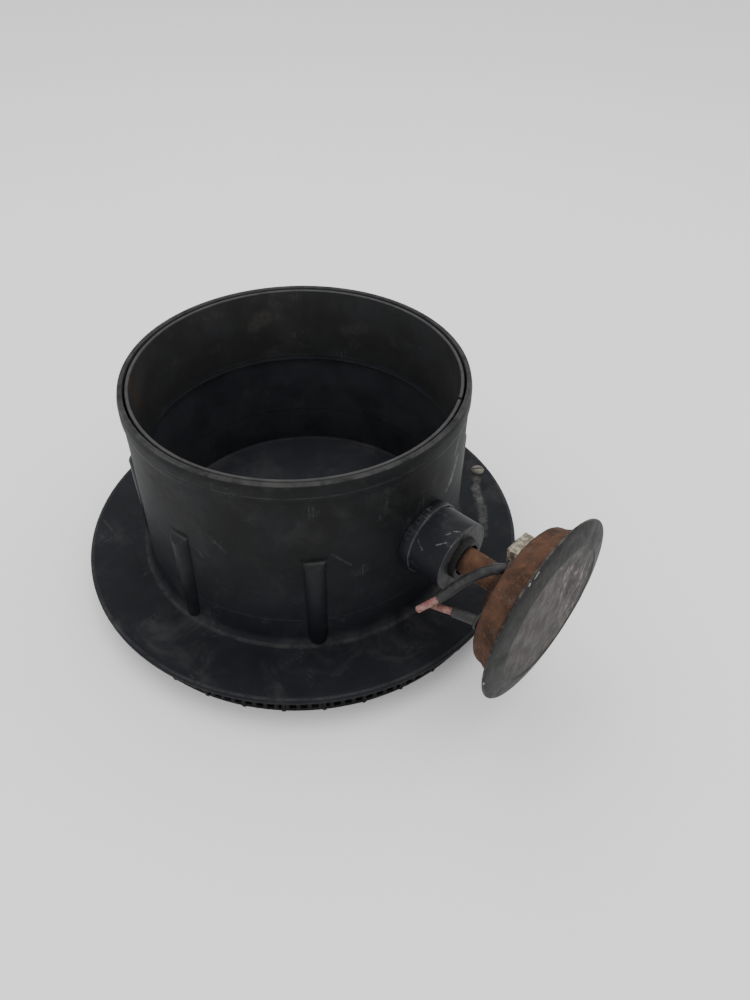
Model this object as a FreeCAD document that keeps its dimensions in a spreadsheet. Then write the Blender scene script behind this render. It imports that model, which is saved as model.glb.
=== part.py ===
"""Open moulded drum on a foot flange, with a pot magnet on a threaded spindle through its side boss.

Millimetres, +Z up. The origin is on the drum's axis at the ground. +X runs along the side boss.
"""
import FreeCAD, Part
import math
import os
import Sketcher

DOC = FreeCAD.newDocument("drum_with_side_magnet")
SHEET = DOC.addObject("Spreadsheet::Sheet", "Dims")
NODES = []

# alias: (millimetres or count, what it is)
DIMENSIONS = {
    "foot_radius": (132.5, "outer ends of the foot ribs"),
    "foot_ring_radius": (130.2, "outer face of the foot ring"),
    "foot_hub_radius": (18.0, "solid hub under the floor"),
    "foot_mid_radius": (60.0, "middle ring of the foot"),
    "foot_skirt_radius": (100.2, "ring under the drum wall"),
    "foot_web": (2.0, "thickness of every foot rib and ring"),
    "foot_low_top": (12.9, "top of the ribs under the floor"),
    "foot_high_top": (17.9, "top of the ribs under the flange"),
    "foot_ribs": (36, "number of foot ribs"),
    "flange_radius": (140.0, "outer radius of the foot flange"),
    "flange_under": (18.0, "underside of the flange"),
    "flange_top": (22.5, "top face of the flange"),
    "flange_lip": (1.6, "rounding of the flange's edge"),
    "flange_hole_radius": (4.2, "hole near the flange's edge"),
    "flange_hole_reach": (131.5, "radius where that hole stands"),
    "wall_foot_radius": (100.6, "outer wall at the flange"),
    "wall_neck_radius": (98.8, "outer wall under the rim band"),
    "wall_neck_top": (113.0, "height where the wall is narrowest"),
    "wall_thick": (2.3, "thickness of the wall"),
    "wall_bottom": (13.0, "lower edge of the wall"),
    "wall_fillet": (5.0, "fillet between wall and flange"),
    "band_radius": (99.6, "rim band, outer radius"),
    "band_bottom": (130.0, "lower edge of the rim band"),
    "band_top": (134.0, "full radius of the rim band"),
    "rim_radius": (98.3, "top edge, outer radius"),
    "rim_height": (142.0, "top of the drum"),
    "rim_round": (0.7, "rounding of the top edge"),
    "seat_radius": (93.6, "inner radius of the ledge under the liner"),
    "seat_top": (91.7, "top of that ledge"),
    "seat_thick": (3.2, "height of that ledge"),
    "rib_half_width": (6.0, "half width of a wall rib"),
    "rib_root": (98.9, "buried chord of a wall rib"),
    "rib_shoulder": (99.2, "where a wall rib's round face starts"),
    "rib_crest": (104.0, "crest of a wall rib's round face"),
    "rib_top": (88.5, "cut top of a wall rib"),
    "rib_count": (7, "wall ribs; the boss takes the eighth place"),
    "floor_radius": (98.1, "floor plate"),
    "floor_thick": (3.0, "floor plate"),
    "liner_outer": (94.8, "liner sleeve, outer radius"),
    "liner_inner": (92.8, "liner sleeve, inner radius"),
    "liner_bottom": (92.0, "lower edge of the liner"),
    "liner_top": (141.2, "top edge of the liner"),
    "liner_slit": (2.4, "width of the slit in the liner"),
    "boss_height": (77.7, "height of the boss axis"),
    "boss_radius": (20.4, "outside of the boss"),
    "boss_bore": (12.0, "radius of the bore through the boss"),
    "boss_end": (124.6, "open end of the boss"),
    "saddle_radius": (21.4, "collar round the root of the boss"),
    "saddle_end": (104.3, "outer face of that collar"),
    "bushing_start": (108.0, "inner end of the bushing in the boss"),
    "bushing_end": (128.4, "outer end of the bushing in the boss"),
    "bushing_bore": (9.0, "radius of the hole through the bushing"),
    "plug_head_radius": (4.9, "head of the flange plug"),
    "plug_head_thick": (2.2, "head of the flange plug"),
    "plug_stem_radius": (4.0, "stem of the flange plug"),
    "plug_stem_length": (4.4, "stem of the flange plug"),
    "rod_radius": (8.0, "spindle"),
    "rod_start": (60.0, "inner end of the spindle"),
    "rod_end": (164.5, "outer end of the spindle"),
    "rod_chamfer": (1.2, "chamfer on the spindle's ends"),
    "thread_play": (0.06, "radial play of nuts and washers on the spindle"),
    "keeper_washer_x": (84.0, "inner face of the inside washer"),
    "keeper_washer_radius": (13.6, "inside washer"),
    "keeper_washer_thick": (2.5, "inside washer"),
    "keeper_nut_x": (71.0, "inner face of the inside nut"),
    "keeper_nut_flats": (24.0, "inside nut across its flats"),
    "keeper_nut_thick": (12.8, "inside nut"),
    "clamp_nut_x": (151.9, "inner face of the large nut"),
    "clamp_nut_flats": (36.0, "large nut across its flats"),
    "clamp_nut_thick": (7.2, "large nut"),
    "clamp_washer_x": (159.2, "inner face of the washer behind the pot"),
    "clamp_washer_radius": (21.0, "washer behind the pot"),
    "clamp_washer_thick": (1.5, "washer behind the pot"),
    "pot_x": (160.9, "back face of the pot"),
    "pot_back_radius": (40.3, "pot, at its back"),
    "pot_mouth_radius": (44.8, "pot, at its mouth"),
    "pot_depth": (15.2, "pot, back to mouth"),
    "pot_wall": (4.0, "thickness of the pot"),
    "pot_round": (4.0, "rounding of the pot's back edge"),
    "lug_inner": (21.6, "lug on the pot's back, inner radius"),
    "lug_outer": (34.0, "lug on the pot's back, outer radius"),
    "lug_x": (153.5, "free face of the lug on the pot's back"),
    "core_radius": (14.0, "pole core"),
    "core_length": (11.5, "pole core"),
    "bobbin_inner": (14.2, "bobbin tube, inner radius"),
    "bobbin_tube": (15.6, "bobbin tube, outer radius"),
    "bobbin_outer": (35.4, "bobbin cheeks"),
    "bobbin_cheek": (1.2, "thickness of a bobbin cheek"),
    "bobbin_length": (10.8, "bobbin over its cheeks"),
    "coil_outer": (34.0, "winding"),
    "coil_gap": (0.1, "play between winding and bobbin"),
    "seam_inner": (39.5, "sealant seam, inner radius"),
    "seam_outer": (45.8, "sealant seam, outer radius"),
    "seam_thick": (1.2, "sealant seam"),
    "disc_x": (177.3, "back face of the face disc"),
    "disc_radius": (53.8, "face disc"),
    "disc_rim_thick": (1.8, "face disc at its edge"),
    "disc_land_radius": (38.5, "flat middle of the disc's face"),
    "disc_thick": (4.4, "face disc at its middle"),
    "disc_round": (0.8, "rounding of the disc's edge"),
    "grommet_radius": (4.6, "lead grommet"),
    "grommet_length": (1.7, "lead grommet"),
    "lead_core_radius": (1.9, "coloured insulation of a lead"),
    "lead_sheath_radius": (2.75, "black sheath of a lead"),
    "strand_radius": (1.0, "copper of a lead"),
    "strand_length": (0.8, "copper standing out of a lead"),
}

FIRST_RIB_AZIMUTH = 50.0
RIB_PITCH = 45.0
LINER_SLIT_AZIMUTH = 26.5
PLUG_AZIMUTH = 65.5
CLAMP_NUT_TURN = 9.0
LUG_TURN = 162.0
LUG_SWEEP = 30.0

# Routes of the two cut leads, from inside their grommets to their bare ends.
UPPER_ROUTE = [
    (158.5, -14.5, 106.3),
    (154.0, -18.8, 107.0),
    (143.4, -27.1, 95.6),
    (136.7, -33.8, 83.2),
    (129.6, -43.6, 76.6),
]
LOWER_ROUTE = [
    (160.2, -33.7, 84.5),
    (151.0, -35.2, 83.2),
    (138.2, -35.2, 77.7),
    (129.6, -32.0, 70.4),
]
UPPER_SHEATH = (6, 2.0)
LOWER_SHEATH = (2, 2.5)


def fill_sheet():
    """Write one row per driving dimension: its note, its value and its alias."""
    for row, (alias, (value, note)) in enumerate(DIMENSIONS.items(), start=1):
        SHEET.set(f"A{row}", note)
        SHEET.set(f"B{row}", str(value))
        SHEET.setAlias(f"B{row}", alias)
    DOC.recompute()


def size(alias):
    """Value of one driving dimension, read from the sheet."""
    return float(SHEET.get(alias))


def ref(text):
    """Expression text with each alias pointed at the sheet."""
    for alias in sorted(DIMENSIONS, key=len, reverse=True):
        text = text.replace(f"<{alias}>", f"Dims.{alias}")
    return text


def bind(thing, prop, text):
    """Bind one property to an expression over the sheet."""
    thing.setExpression(prop, ref(text))


def node(thing, label):
    """Register a finished sub-part under its node name."""
    thing.Label = label
    NODES.append(thing)
    return thing


def lie_along_x(thing, station, height="<boss_height>"):
    """Turn a piece built along +Z onto the boss axis, its start at a station on +X."""
    thing.Placement = FreeCAD.Placement(FreeCAD.Vector(), FreeCAD.Rotation(FreeCAD.Vector(0, 1, 0), 90))
    bind(thing, "Placement.Base.x", station)
    bind(thing, "Placement.Base.z", height)


def origin_feature(body, role):
    """Origin plane or axis of a body, found by its role."""
    return next(item for item in body.Origin.OriginFeatures if item.Role == role)


def new_body(name):
    """Empty PartDesign body."""
    return DOC.addObject("PartDesign::Body", name)


def new_sketch(body, role, name):
    """Sketch attached to one of the body's own origin planes."""
    sketch = body.newObject("Sketcher::SketchObject", name)
    sketch.AttachmentSupport = [(origin_feature(body, role), "")]
    sketch.MapMode = "FlatFace"
    return sketch


def pin_vertex(sketch, line, across, up):
    """Hold the start of a line at two expressions, or on an axis where one is "0"."""
    for text, axis_line, kind in ((across, -2, "DistanceX"), (up, -1, "DistanceY")):
        if text == "0":
            sketch.addConstraint(Sketcher.Constraint("PointOnObject", line, 1, axis_line))
            continue
        geometry = sketch.Geometry[line].StartPoint
        value = geometry.x if kind == "DistanceX" else geometry.y
        index = sketch.addConstraint(Sketcher.Constraint(kind, -1, 1, line, 1, value))
        sketch.setExpression(f"Constraints[{index}]", ref(text))


def value_of(text):
    """Number that an expression over the sheet stands for."""
    plain = text
    for alias in sorted(DIMENSIONS, key=len, reverse=True):
        plain = plain.replace(f"<{alias}>", f"({size(alias)})")
    return FreeCAD.Units.Quantity(plain).Value


def outline(sketch, corners):
    """Closed outline through corners given as pairs of expressions, every corner bound."""
    points = [FreeCAD.Vector(value_of(across), value_of(up), 0) for across, up in corners]
    lines = []
    for start, end in zip(points, points[1:] + points[:1]):
        lines.append(sketch.addGeometry(Part.LineSegment(start, end), False))
    for line, following in zip(lines, lines[1:] + lines[:1]):
        sketch.addConstraint(Sketcher.Constraint("Coincident", line, 2, following, 1))
    for line, (across, up) in zip(lines, corners):
        pin_vertex(sketch, line, across, up)


def revolved(body, name, corners):
    """Full revolution about the body's Z axis of an outline in its XZ plane."""
    sketch = new_sketch(body, "XZ_Plane", name + "_outline")
    outline(sketch, corners)
    feature = body.newObject("PartDesign::Revolution", name)
    feature.Profile = sketch
    feature.ReferenceAxis = (origin_feature(body, "Z_Axis"), [""])
    feature.Angle = 360.0
    DOC.recompute()
    return feature


def ring_edges(feature, radius, height):
    """Names of the circular edges of a feature with this radius at this height."""
    names = []
    for number, edge in enumerate(feature.Shape.Edges, start=1):
        curve = edge.Curve
        if not isinstance(curve, Part.Circle):
            continue
        if abs(curve.Radius - radius) < 0.02 and abs(curve.Center.z - height) < 0.02:
            names.append(f"Edge{number}")
    if not names:
        raise RuntimeError(f"no round edge of radius {radius} at {height} on {feature.Name}")
    return names


def rounded(body, base, name, edges, radius):
    """PartDesign fillet on named edges of the body's last feature."""
    feature = body.newObject("PartDesign::Fillet", name)
    feature.Base = (base, edges)
    bind(feature, "Radius", radius)
    DOC.recompute()
    return feature


def around_z(body, name, originals, count, angle):
    """Polar pattern about the body's Z axis, set as the body's tip."""
    pattern = body.newObject("PartDesign::PolarPattern", name)
    pattern.Originals = originals
    pattern.Axis = (origin_feature(body, "Z_Axis"), [""])
    pattern.Angle = angle
    bind(pattern, "Occurrences", count)
    body.Tip = pattern
    DOC.recompute()
    return pattern


def upright(body, sketch, name, length):
    """Pad of a sketch along +Z."""
    pad = body.newObject("PartDesign::Pad", name)
    pad.Profile = sketch
    bind(pad, "Length", length)
    DOC.recompute()
    return pad


def cylinder(name, radius, length):
    """Part cylinder bound to two expressions."""
    solid = DOC.addObject("Part::Cylinder", name)
    bind(solid, "Radius", radius)
    bind(solid, "Height", length)
    return solid


def cut(name, base, tool):
    """Boolean difference."""
    result = DOC.addObject("Part::Cut", name)
    result.Base = base
    result.Tool = tool
    return result


def tube(name, outer, inner, length):
    """Plain tube along +Z from its own origin."""
    core = cylinder(name + "_core", inner, f"{length} + 2")
    core.Placement.Base.z = -1
    return cut(name, cylinder(name + "_body", outer, length), core)


def drum_shell():
    """Wall, rim band, flange and wall ribs: one moulding with its bore and its flange hole."""
    body = new_body("DrumShell")
    inner_foot = "<wall_foot_radius> - <wall_thick>"
    inner_neck = "<wall_neck_radius> - <wall_thick>"
    inner_rim = "<rim_radius> - <wall_thick>"
    shell = revolved(body, "ShellTurn", [
        (inner_foot, "<wall_bottom>"),
        ("<wall_foot_radius>", "<wall_bottom>"),
        ("<wall_foot_radius>", "<flange_under>"),
        ("<flange_radius>", "<flange_under>"),
        ("<flange_radius>", "<flange_top>"),
        ("<wall_foot_radius>", "<flange_top>"),
        ("<wall_neck_radius>", "<wall_neck_top>"),
        ("<wall_neck_radius>", "<band_bottom>"),
        ("<band_radius>", "<band_top>"),
        ("<rim_radius>", "<rim_height>"),
        (inner_rim, "<rim_height>"),
        (inner_neck, "<wall_neck_top>"),
    ])
    foot_edge = ring_edges(shell, size("wall_foot_radius"), size("flange_top"))
    shell = rounded(body, shell, "FootFillet", foot_edge, "<wall_fillet>")
    lip = ring_edges(shell, size("flange_radius"), size("flange_top"))
    lip += ring_edges(shell, size("flange_radius"), size("flange_under"))
    shell = rounded(body, shell, "LipRound", lip, "<flange_lip>")
    rim = ring_edges(shell, size("rim_radius"), size("rim_height"))
    rim += ring_edges(shell, size("rim_radius") - size("wall_thick"), size("rim_height"))
    rounded(body, shell, "RimRound", rim, "<rim_round>")
    rib = wall_rib(body)
    around_z(body, "WallRibs", [rib], "<rib_count>", RIB_PITCH * (size("rib_count") - 1))
    shell_hole(body)
    node(opened_for_boss(body), "drum_shell")


def wall_rib(body):
    """Half-round upright rib with a flat cut top, at the first rib's azimuth."""
    sketch = new_sketch(body, "XY_Plane", "RibOutline")
    half = size("rib_half_width")
    root = size("rib_root")
    shoulder = size("rib_shoulder")
    corners = [(shoulder, half), (root, half), (root, -half), (shoulder, -half)]
    points = [FreeCAD.Vector(x, y, 0) for x, y in corners]
    for start, end in zip(points, points[1:]):
        sketch.addGeometry(Part.LineSegment(start, end), False)
    tip = FreeCAD.Vector(size("rib_crest"), 0, 0)
    sketch.addGeometry(Part.Arc(points[3], tip, points[0]), False)
    sketch.AttachmentOffset = FreeCAD.Placement(
        FreeCAD.Vector(0, 0, size("flange_under") + 1),
        FreeCAD.Rotation(FreeCAD.Vector(0, 0, 1), FIRST_RIB_AZIMUTH))
    pad = body.newObject("PartDesign::Pad", "Rib")
    pad.Profile = sketch
    bind(pad, "Length", "<rib_top> - <flange_under> - 1")
    DOC.recompute()
    return pad


def shell_hole(body):
    """Round hole through the flange, near its edge."""
    sketch = new_sketch(body, "XY_Plane", "FlangeHoleOutline")
    turn = math.radians(PLUG_AZIMUTH)
    reach = size("flange_hole_reach")
    centre = FreeCAD.Vector(reach * math.cos(turn), reach * math.sin(turn), 0)
    round_line = Part.Circle(centre, FreeCAD.Vector(0, 0, 1), size("flange_hole_radius"))
    circle = sketch.addGeometry(round_line, False)
    index = sketch.addConstraint(Sketcher.Constraint("Radius", circle, size("flange_hole_radius")))
    sketch.setExpression(f"Constraints[{index}]", ref("<flange_hole_radius>"))
    pocket = body.newObject("PartDesign::Pocket", "FlangeHole")
    pocket.Profile = sketch
    pocket.Reversed = True
    bind(pocket, "Length", "<flange_top> + 2")
    DOC.recompute()
    body.Tip = pocket


def opened_for_boss(body):
    """The moulding with the bore of the boss cut through its wall."""
    bore = cylinder("WallBore", "<boss_bore>", "<boss_end> - 70")
    lie_along_x(bore, "70")
    shell = cut("DrumShellBored", body, bore)
    DOC.recompute()
    if shell.Shape.Volume > body.Shape.Volume - 500:
        raise RuntimeError("the bore of the boss cut nothing")
    return shell


def floor_plate():
    """Closed floor inside the foot of the wall."""
    floor = cylinder("FloorPlate", "<floor_radius>", "<floor_thick>")
    bind(floor, "Placement.Base.z", "<wall_bottom>")
    node(floor, "floor_plate")


def annulus_sketch(body, name, outer, inner):
    """Sketch of two circles about the origin, or one where the inner is None."""
    sketch = new_sketch(body, "XY_Plane", name)
    for text in [outer] + ([inner] if inner else []):
        round_line = Part.Circle(FreeCAD.Vector(), FreeCAD.Vector(0, 0, 1), value_of(text))
        circle = sketch.addGeometry(round_line, False)
        sketch.addConstraint(Sketcher.Constraint("Coincident", circle, 3, -1, 1))
        index = sketch.addConstraint(Sketcher.Constraint("Radius", circle, value_of(text)))
        sketch.setExpression(f"Constraints[{index}]", ref(text))
    return sketch


def rib_sketch(body, name, start, end):
    """Sketch of one radial web on +X between two radii."""
    sketch = new_sketch(body, "XY_Plane", name)
    half = size("foot_web") / 2
    low = value_of(start)
    high = value_of(end)
    points = [FreeCAD.Vector(x, y, 0) for x, y in ((low, -half), (high, -half), (high, half), (low, half))]
    for here, there in zip(points, points[1:] + points[:1]):
        sketch.addGeometry(Part.LineSegment(here, there), False)
    return sketch


def foot_grid():
    """Foot ring, radial ribs, two inner rings and a hub: the moulding that the drum stands on."""
    body = new_body("FootGrid")
    upright(body, annulus_sketch(body, "HubOutline", "<foot_hub_radius>", None), "Hub", "<foot_low_top>")
    low = upright(body, rib_sketch(body, "LowRibOutline", "<foot_hub_radius> - 3", "<foot_skirt_radius>"),
                  "LowRib", "<foot_low_top>")
    around_z(body, "LowRibs", [low], "<foot_ribs>", 360.0)
    rings = (
        ("Mid", "<foot_mid_radius>", "<foot_low_top>"),
        ("Skirt", "<foot_skirt_radius>", "<foot_low_top>"),
    )
    for name, radius, top in rings:
        sketch = annulus_sketch(body, name + "Outline", radius, radius + " - <foot_web>")
        body.Tip = upright(body, sketch, name + "Ring", top)
    high = upright(body, rib_sketch(body, "HighRibOutline", "<foot_skirt_radius> - 1", "<foot_radius>"),
                   "HighRib", "<foot_low_top>")
    around_z(body, "HighRibs", [high], "<foot_ribs>", 360.0)
    crest = upright(body, rib_sketch(body, "CrestOutline", "<wall_foot_radius> + 0.2", "<foot_radius>"),
                    "Crest", "<foot_high_top>")
    around_z(body, "Crests", [crest], "<foot_ribs>", 360.0)
    sketch = annulus_sketch(body, "OuterOutline", "<foot_ring_radius>", "<foot_ring_radius> - <foot_web>")
    body.Tip = upright(body, sketch, "OuterRing", "<foot_high_top>")
    node(body, "foot_grid")


def liner_seat():
    """Ledge inside the wall that carries the liner."""
    outer = "<wall_neck_radius> - <wall_thick> + 0.25"
    seat = tube("LinerSeat", outer, "<seat_radius>", "<seat_thick>")
    bind(seat, "Placement.Base.z", "<seat_top> - <seat_thick>")
    node(seat, "liner_seat")


def liner_sleeve():
    """Thin sleeve inside the rim, open at one slit."""
    length = "(<liner_top> - <liner_bottom>)"
    sleeve = tube("LinerTube", "<liner_outer>", "<liner_inner>", length)
    slit = DOC.addObject("Part::Box", "LinerSlit")
    bind(slit, "Length", "<liner_outer> + 5")
    bind(slit, "Width", "<liner_slit>")
    bind(slit, "Height", length + " + 2")
    slit.Placement = FreeCAD.Placement(
        FreeCAD.Vector(0, 0, -1), FreeCAD.Rotation(FreeCAD.Vector(0, 0, 1), LINER_SLIT_AZIMUTH))
    liner = cut("LinerSleeve", sleeve, slit)
    bind(liner, "Placement.Base.z", "<liner_bottom>")
    node(liner, "liner_sleeve")


def wall_cone(name, swell):
    """Outside of the wall as a solid cone, swollen by an expression, to fit pieces against."""
    cone = DOC.addObject("Part::Cone", name)
    bind(cone, "Radius1", f"<wall_foot_radius> + {swell}")
    bind(cone, "Radius2", f"<wall_neck_radius> + {swell}")
    bind(cone, "Height", "<wall_neck_top> - <flange_top>")
    bind(cone, "Placement.Base.z", "<flange_top>")
    return cone


def side_boss():
    """Thick round boss on +X, fitted to the wall and bored through."""
    blank = cylinder("BossBlank", "<boss_radius>", "<boss_end> - 80")
    lie_along_x(blank, "80")
    fitted = cut("BossFitted", blank, wall_cone("BossWall", "0"))
    bore = cylinder("BossBore", "<boss_bore>", "<boss_end> - 60")
    lie_along_x(bore, "70")
    node(cut("SideBoss", fitted, bore), "side_boss")


def boss_saddle():
    """Low collar round the root of the boss, fitted to the wall."""
    ring = tube("SaddleRing", "<saddle_radius>", "<boss_radius> + 0.02", "<saddle_end> - 82")
    lie_along_x(ring, "82")
    node(cut("BossSaddle", ring, wall_cone("SaddleWall", "0")), "boss_saddle")


def boss_bushing():
    """Bushing in the open end of the boss, standing a little out of it."""
    bushing = tube("BossBushing", "<boss_bore> - 0.02", "<bushing_bore>", "<bushing_end> - <bushing_start>")
    lie_along_x(bushing, "<bushing_start>")
    node(bushing, "boss_bushing")


def flange_plug():
    """Pale plug in the flange hole: a low head over a stem."""
    body = new_body("FlangePlug")
    plug = revolved(body, "PlugTurn", [
        ("0", "<flange_top> - <plug_stem_length>"),
        ("<plug_stem_radius>", "<flange_top> - <plug_stem_length>"),
        ("<plug_stem_radius>", "<flange_top>"),
        ("<plug_head_radius>", "<flange_top>"),
        ("<plug_head_radius>", "<flange_top> + <plug_head_thick>"),
        ("0", "<flange_top> + <plug_head_thick>"),
    ])
    top = ring_edges(plug, size("plug_head_radius"), size("flange_top") + size("plug_head_thick"))
    rounded(body, plug, "PlugRound", top, "<plug_head_thick> * 0.6")
    turn = math.radians(PLUG_AZIMUTH)
    body.Placement.Base.x = size("flange_hole_reach") * math.cos(turn)
    body.Placement.Base.y = size("flange_hole_reach") * math.sin(turn)
    node(body, "flange_plug")


def spindle():
    """Threaded rod through the boss, chamfered at both ends."""
    body = new_body("Spindle")
    length = "<rod_end> - <rod_start>"
    revolved(body, "RodTurn", [
        ("0", "0"),
        ("<rod_radius> - <rod_chamfer>", "0"),
        ("<rod_radius>", "<rod_chamfer>"),
        ("<rod_radius>", length + " - <rod_chamfer>"),
        ("<rod_radius> - <rod_chamfer>", length),
        ("0", length),
    ])
    lie_along_x(body, "<rod_start>")
    node(body, "spindle")


def hex_nut(name, label, station, flats, thick, turn):
    """Plain hexagon nut on the spindle."""
    blank = DOC.addObject("Part::Prism", name + "Blank")
    blank.Polygon = 6
    bind(blank, "Circumradius", f"{flats} / 2 / cos(30)")
    bind(blank, "Height", thick)
    blank.Placement.Rotation = FreeCAD.Rotation(FreeCAD.Vector(0, 0, 1), turn)
    bore = cylinder(name + "Bore", "<rod_radius> + <thread_play>", f"{thick} + 2")
    bore.Placement.Base.z = -1
    nut = cut(name, blank, bore)
    lie_along_x(nut, station)
    node(nut, label)


def washer(name, label, station, radius, thick):
    """Round washer on the spindle."""
    ring = tube(name, radius, "<rod_radius> + <thread_play>", thick)
    lie_along_x(ring, station)
    node(ring, label)


def pot_shell():
    """Steel pot: a back plate and a wall that flares towards the disc."""
    body = new_body("PotShell")
    bore = "<rod_radius> + <thread_play>"
    pot = revolved(body, "PotTurn", [
        (bore, "0"),
        ("<pot_back_radius>", "0"),
        ("<pot_mouth_radius>", "<pot_depth>"),
        ("<pot_mouth_radius> - <pot_wall>", "<pot_depth>"),
        ("<pot_back_radius> - <pot_wall>", "<pot_wall>"),
        (bore, "<pot_wall>"),
    ])
    rounded(body, pot, "PotRound", ring_edges(pot, size("pot_back_radius"), 0), "<pot_round>")
    lie_along_x(body, "<pot_x>")
    node(body, "pot_shell")


def pot_lug():
    """Curved lug that stands on the pot's back, above the large nut."""
    depth = "(<pot_x> - <lug_x>)"
    blank = cylinder("LugBlank", "<lug_outer>", depth)
    blank.Angle = LUG_SWEEP
    blank.Placement.Rotation = FreeCAD.Rotation(FreeCAD.Vector(0, 0, 1), LUG_TURN)
    hollow = cylinder("LugHollow", "<lug_inner>", f"{depth} + 2")
    hollow.Placement.Base.z = -1
    lug = cut("PotLug", blank, hollow)
    lie_along_x(lug, "<lug_x>")
    node(lug, "pot_lug")


def pole_core():
    """Round pole in the middle of the pot, in front of the spindle's end."""
    core = cylinder("PoleCore", "<core_radius>", "<core_length>")
    lie_along_x(core, "<pot_x> + <pot_wall> + 0.4")
    node(core, "pole_core")


def coil_bobbin():
    """Bobbin: a tube between two cheeks."""
    body = new_body("CoilBobbin")
    revolved(body, "BobbinTurn", [
        ("<bobbin_inner>", "0"),
        ("<bobbin_outer>", "0"),
        ("<bobbin_outer>", "<bobbin_cheek>"),
        ("<bobbin_tube>", "<bobbin_cheek>"),
        ("<bobbin_tube>", "<bobbin_length> - <bobbin_cheek>"),
        ("<bobbin_outer>", "<bobbin_length> - <bobbin_cheek>"),
        ("<bobbin_outer>", "<bobbin_length>"),
        ("<bobbin_inner>", "<bobbin_length>"),
    ])
    lie_along_x(body, "<pot_x> + <pot_wall> + 0.5")
    node(body, "coil_bobbin")


def coil_winding():
    """Copper winding between the bobbin's cheeks."""
    length = "(<bobbin_length> - 2 * <bobbin_cheek> - 2 * <coil_gap>)"
    winding = tube("CoilWinding", "<coil_outer>", "<bobbin_tube> + <coil_gap>", length)
    lie_along_x(winding, "<pot_x> + <pot_wall> + 0.5 + <bobbin_cheek> + <coil_gap>")
    node(winding, "coil_winding")


def sealant_seam():
    """Crusty seam between the pot's mouth and the disc."""
    seam = tube("SealantSeam", "<seam_outer>", "<seam_inner>", "<seam_thick>")
    lie_along_x(seam, "<disc_x> - <seam_thick>")
    node(seam, "sealant_seam")


def face_disc():
    """Face disc: a flat middle and a rim that falls back to a thin edge."""
    body = new_body("FaceDisc")
    disc = revolved(body, "DiscTurn", [
        ("0", "0"),
        ("<disc_radius>", "0"),
        ("<disc_radius>", "<disc_rim_thick>"),
        ("<disc_land_radius>", "<disc_thick>"),
        ("0", "<disc_thick>"),
    ])
    edges = ring_edges(disc, size("disc_radius"), 0)
    edges += ring_edges(disc, size("disc_radius"), size("disc_rim_thick"))
    rounded(body, disc, "DiscRound", edges, "<disc_round>")
    lie_along_x(body, "<disc_x>")
    node(body, "face_disc")


def route_edges(points):
    """Straight runs joined by tangent arcs, each arc as large as its two runs allow."""
    corners = [FreeCAD.Vector(*point) for point in points]
    edges = []
    radii = []
    start = corners[0]
    for before, corner, after in zip(corners, corners[1:], corners[2:]):
        towards = (before - corner).normalize()
        away = (after - corner).normalize()
        half_turn = (math.pi - towards.getAngle(away)) / 2
        shorter = min((before - corner).Length, (after - corner).Length)
        setback = 0.45 * shorter
        radius = setback / math.tan(half_turn)
        radii.append(radius)
        enter = corner + towards * setback
        leave = corner + away * setback
        inward = (towards + away).normalize()
        middle = corner + inward * (radius / math.cos(half_turn) - radius)
        edges.append(Part.LineSegment(start, enter).toShape())
        edges.append(Part.Arc(enter, middle, leave).toShape())
        start = leave
    edges.append(Part.LineSegment(start, corners[-1]).toShape())
    print("route radii", [round(radius, 1) for radius in radii])
    return edges


def shortened(edges, whole, extra):
    """The first edges of a route, and a length of the straight run that follows them."""
    run = edges[whole]
    start = run.Vertexes[0].Point
    end = run.Vertexes[1].Point
    stop = start + (end - start).normalize() * extra
    return edges[:whole] + [Part.LineSegment(start, stop).toShape()]


def swept(edges, radius):
    """Round solid of one radius along a route."""
    spine = Part.Wire(edges)
    start = edges[0].Vertexes[0].Point
    along = edges[0].Vertexes[1].Point - start
    circle = Part.Wire([Part.Circle(start, along, radius).toShape()])
    solid = spine.makePipeShell([circle], True, False)
    expected = math.pi * radius * radius * spine.Length
    if abs(solid.Volume - expected) > 0.02 * expected:
        raise RuntimeError("a swept lead has the wrong volume")
    return solid


def feature(name, label, shape):
    """Node whose shape is made by code."""
    thing = DOC.addObject("Part::Feature", name)
    thing.Shape = shape
    node(thing, label)


def lead(which, route, sheath):
    """One cut lead: grommet, coloured core, black sheath over its first part, bare strands."""
    core_radius = size("lead_core_radius")
    edges = route_edges(route)
    print(which, "lead length", round(Part.Wire(edges).Length, 1))
    core = swept(edges, core_radius)
    covered = shortened(edges, *sheath)
    jacket = swept(covered, size("lead_sheath_radius")).cut(swept(covered, core_radius))
    start = FreeCAD.Vector(*route[0])
    first = (edges[0].Vertexes[1].Point - start).normalize()
    root = start + first * ((size("pot_x") - start.x) / first.x)
    backward = FreeCAD.Vector(-1, 0, 0)
    collar = Part.makeCylinder(size("grommet_radius"), size("grommet_length"), root, backward)
    passage = Part.makeCylinder(size("lead_sheath_radius"), 24, root - first * 12, first)
    end = FreeCAD.Vector(*route[-1])
    last = (end - edges[-1].Vertexes[0].Point).normalize()
    title = which.capitalize()
    feature(title + "Grommet", f"lead_{which}_grommet", collar.cut(passage))
    feature(title + "Core", f"lead_{which}_core", core)
    feature(title + "Sheath", f"lead_{which}_sheath", jacket)
    strands = Part.makeCylinder(size("strand_radius"), size("strand_length"), end, last)
    feature(title + "Strands", f"lead_{which}_strands", strands)


def check_document():
    """Stop if any object failed or any sub-part is empty or not valid."""
    for thing in DOC.Objects:
        if "Invalid" in thing.State or "Error" in thing.State:
            raise RuntimeError(f"{thing.Name} failed: {thing.State}")
    for part in NODES:
        if part.Shape.isNull() or not part.Shape.isValid() or not part.Shape.Solids:
            raise RuntimeError(f"{part.Label} has no valid solid")


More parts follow.
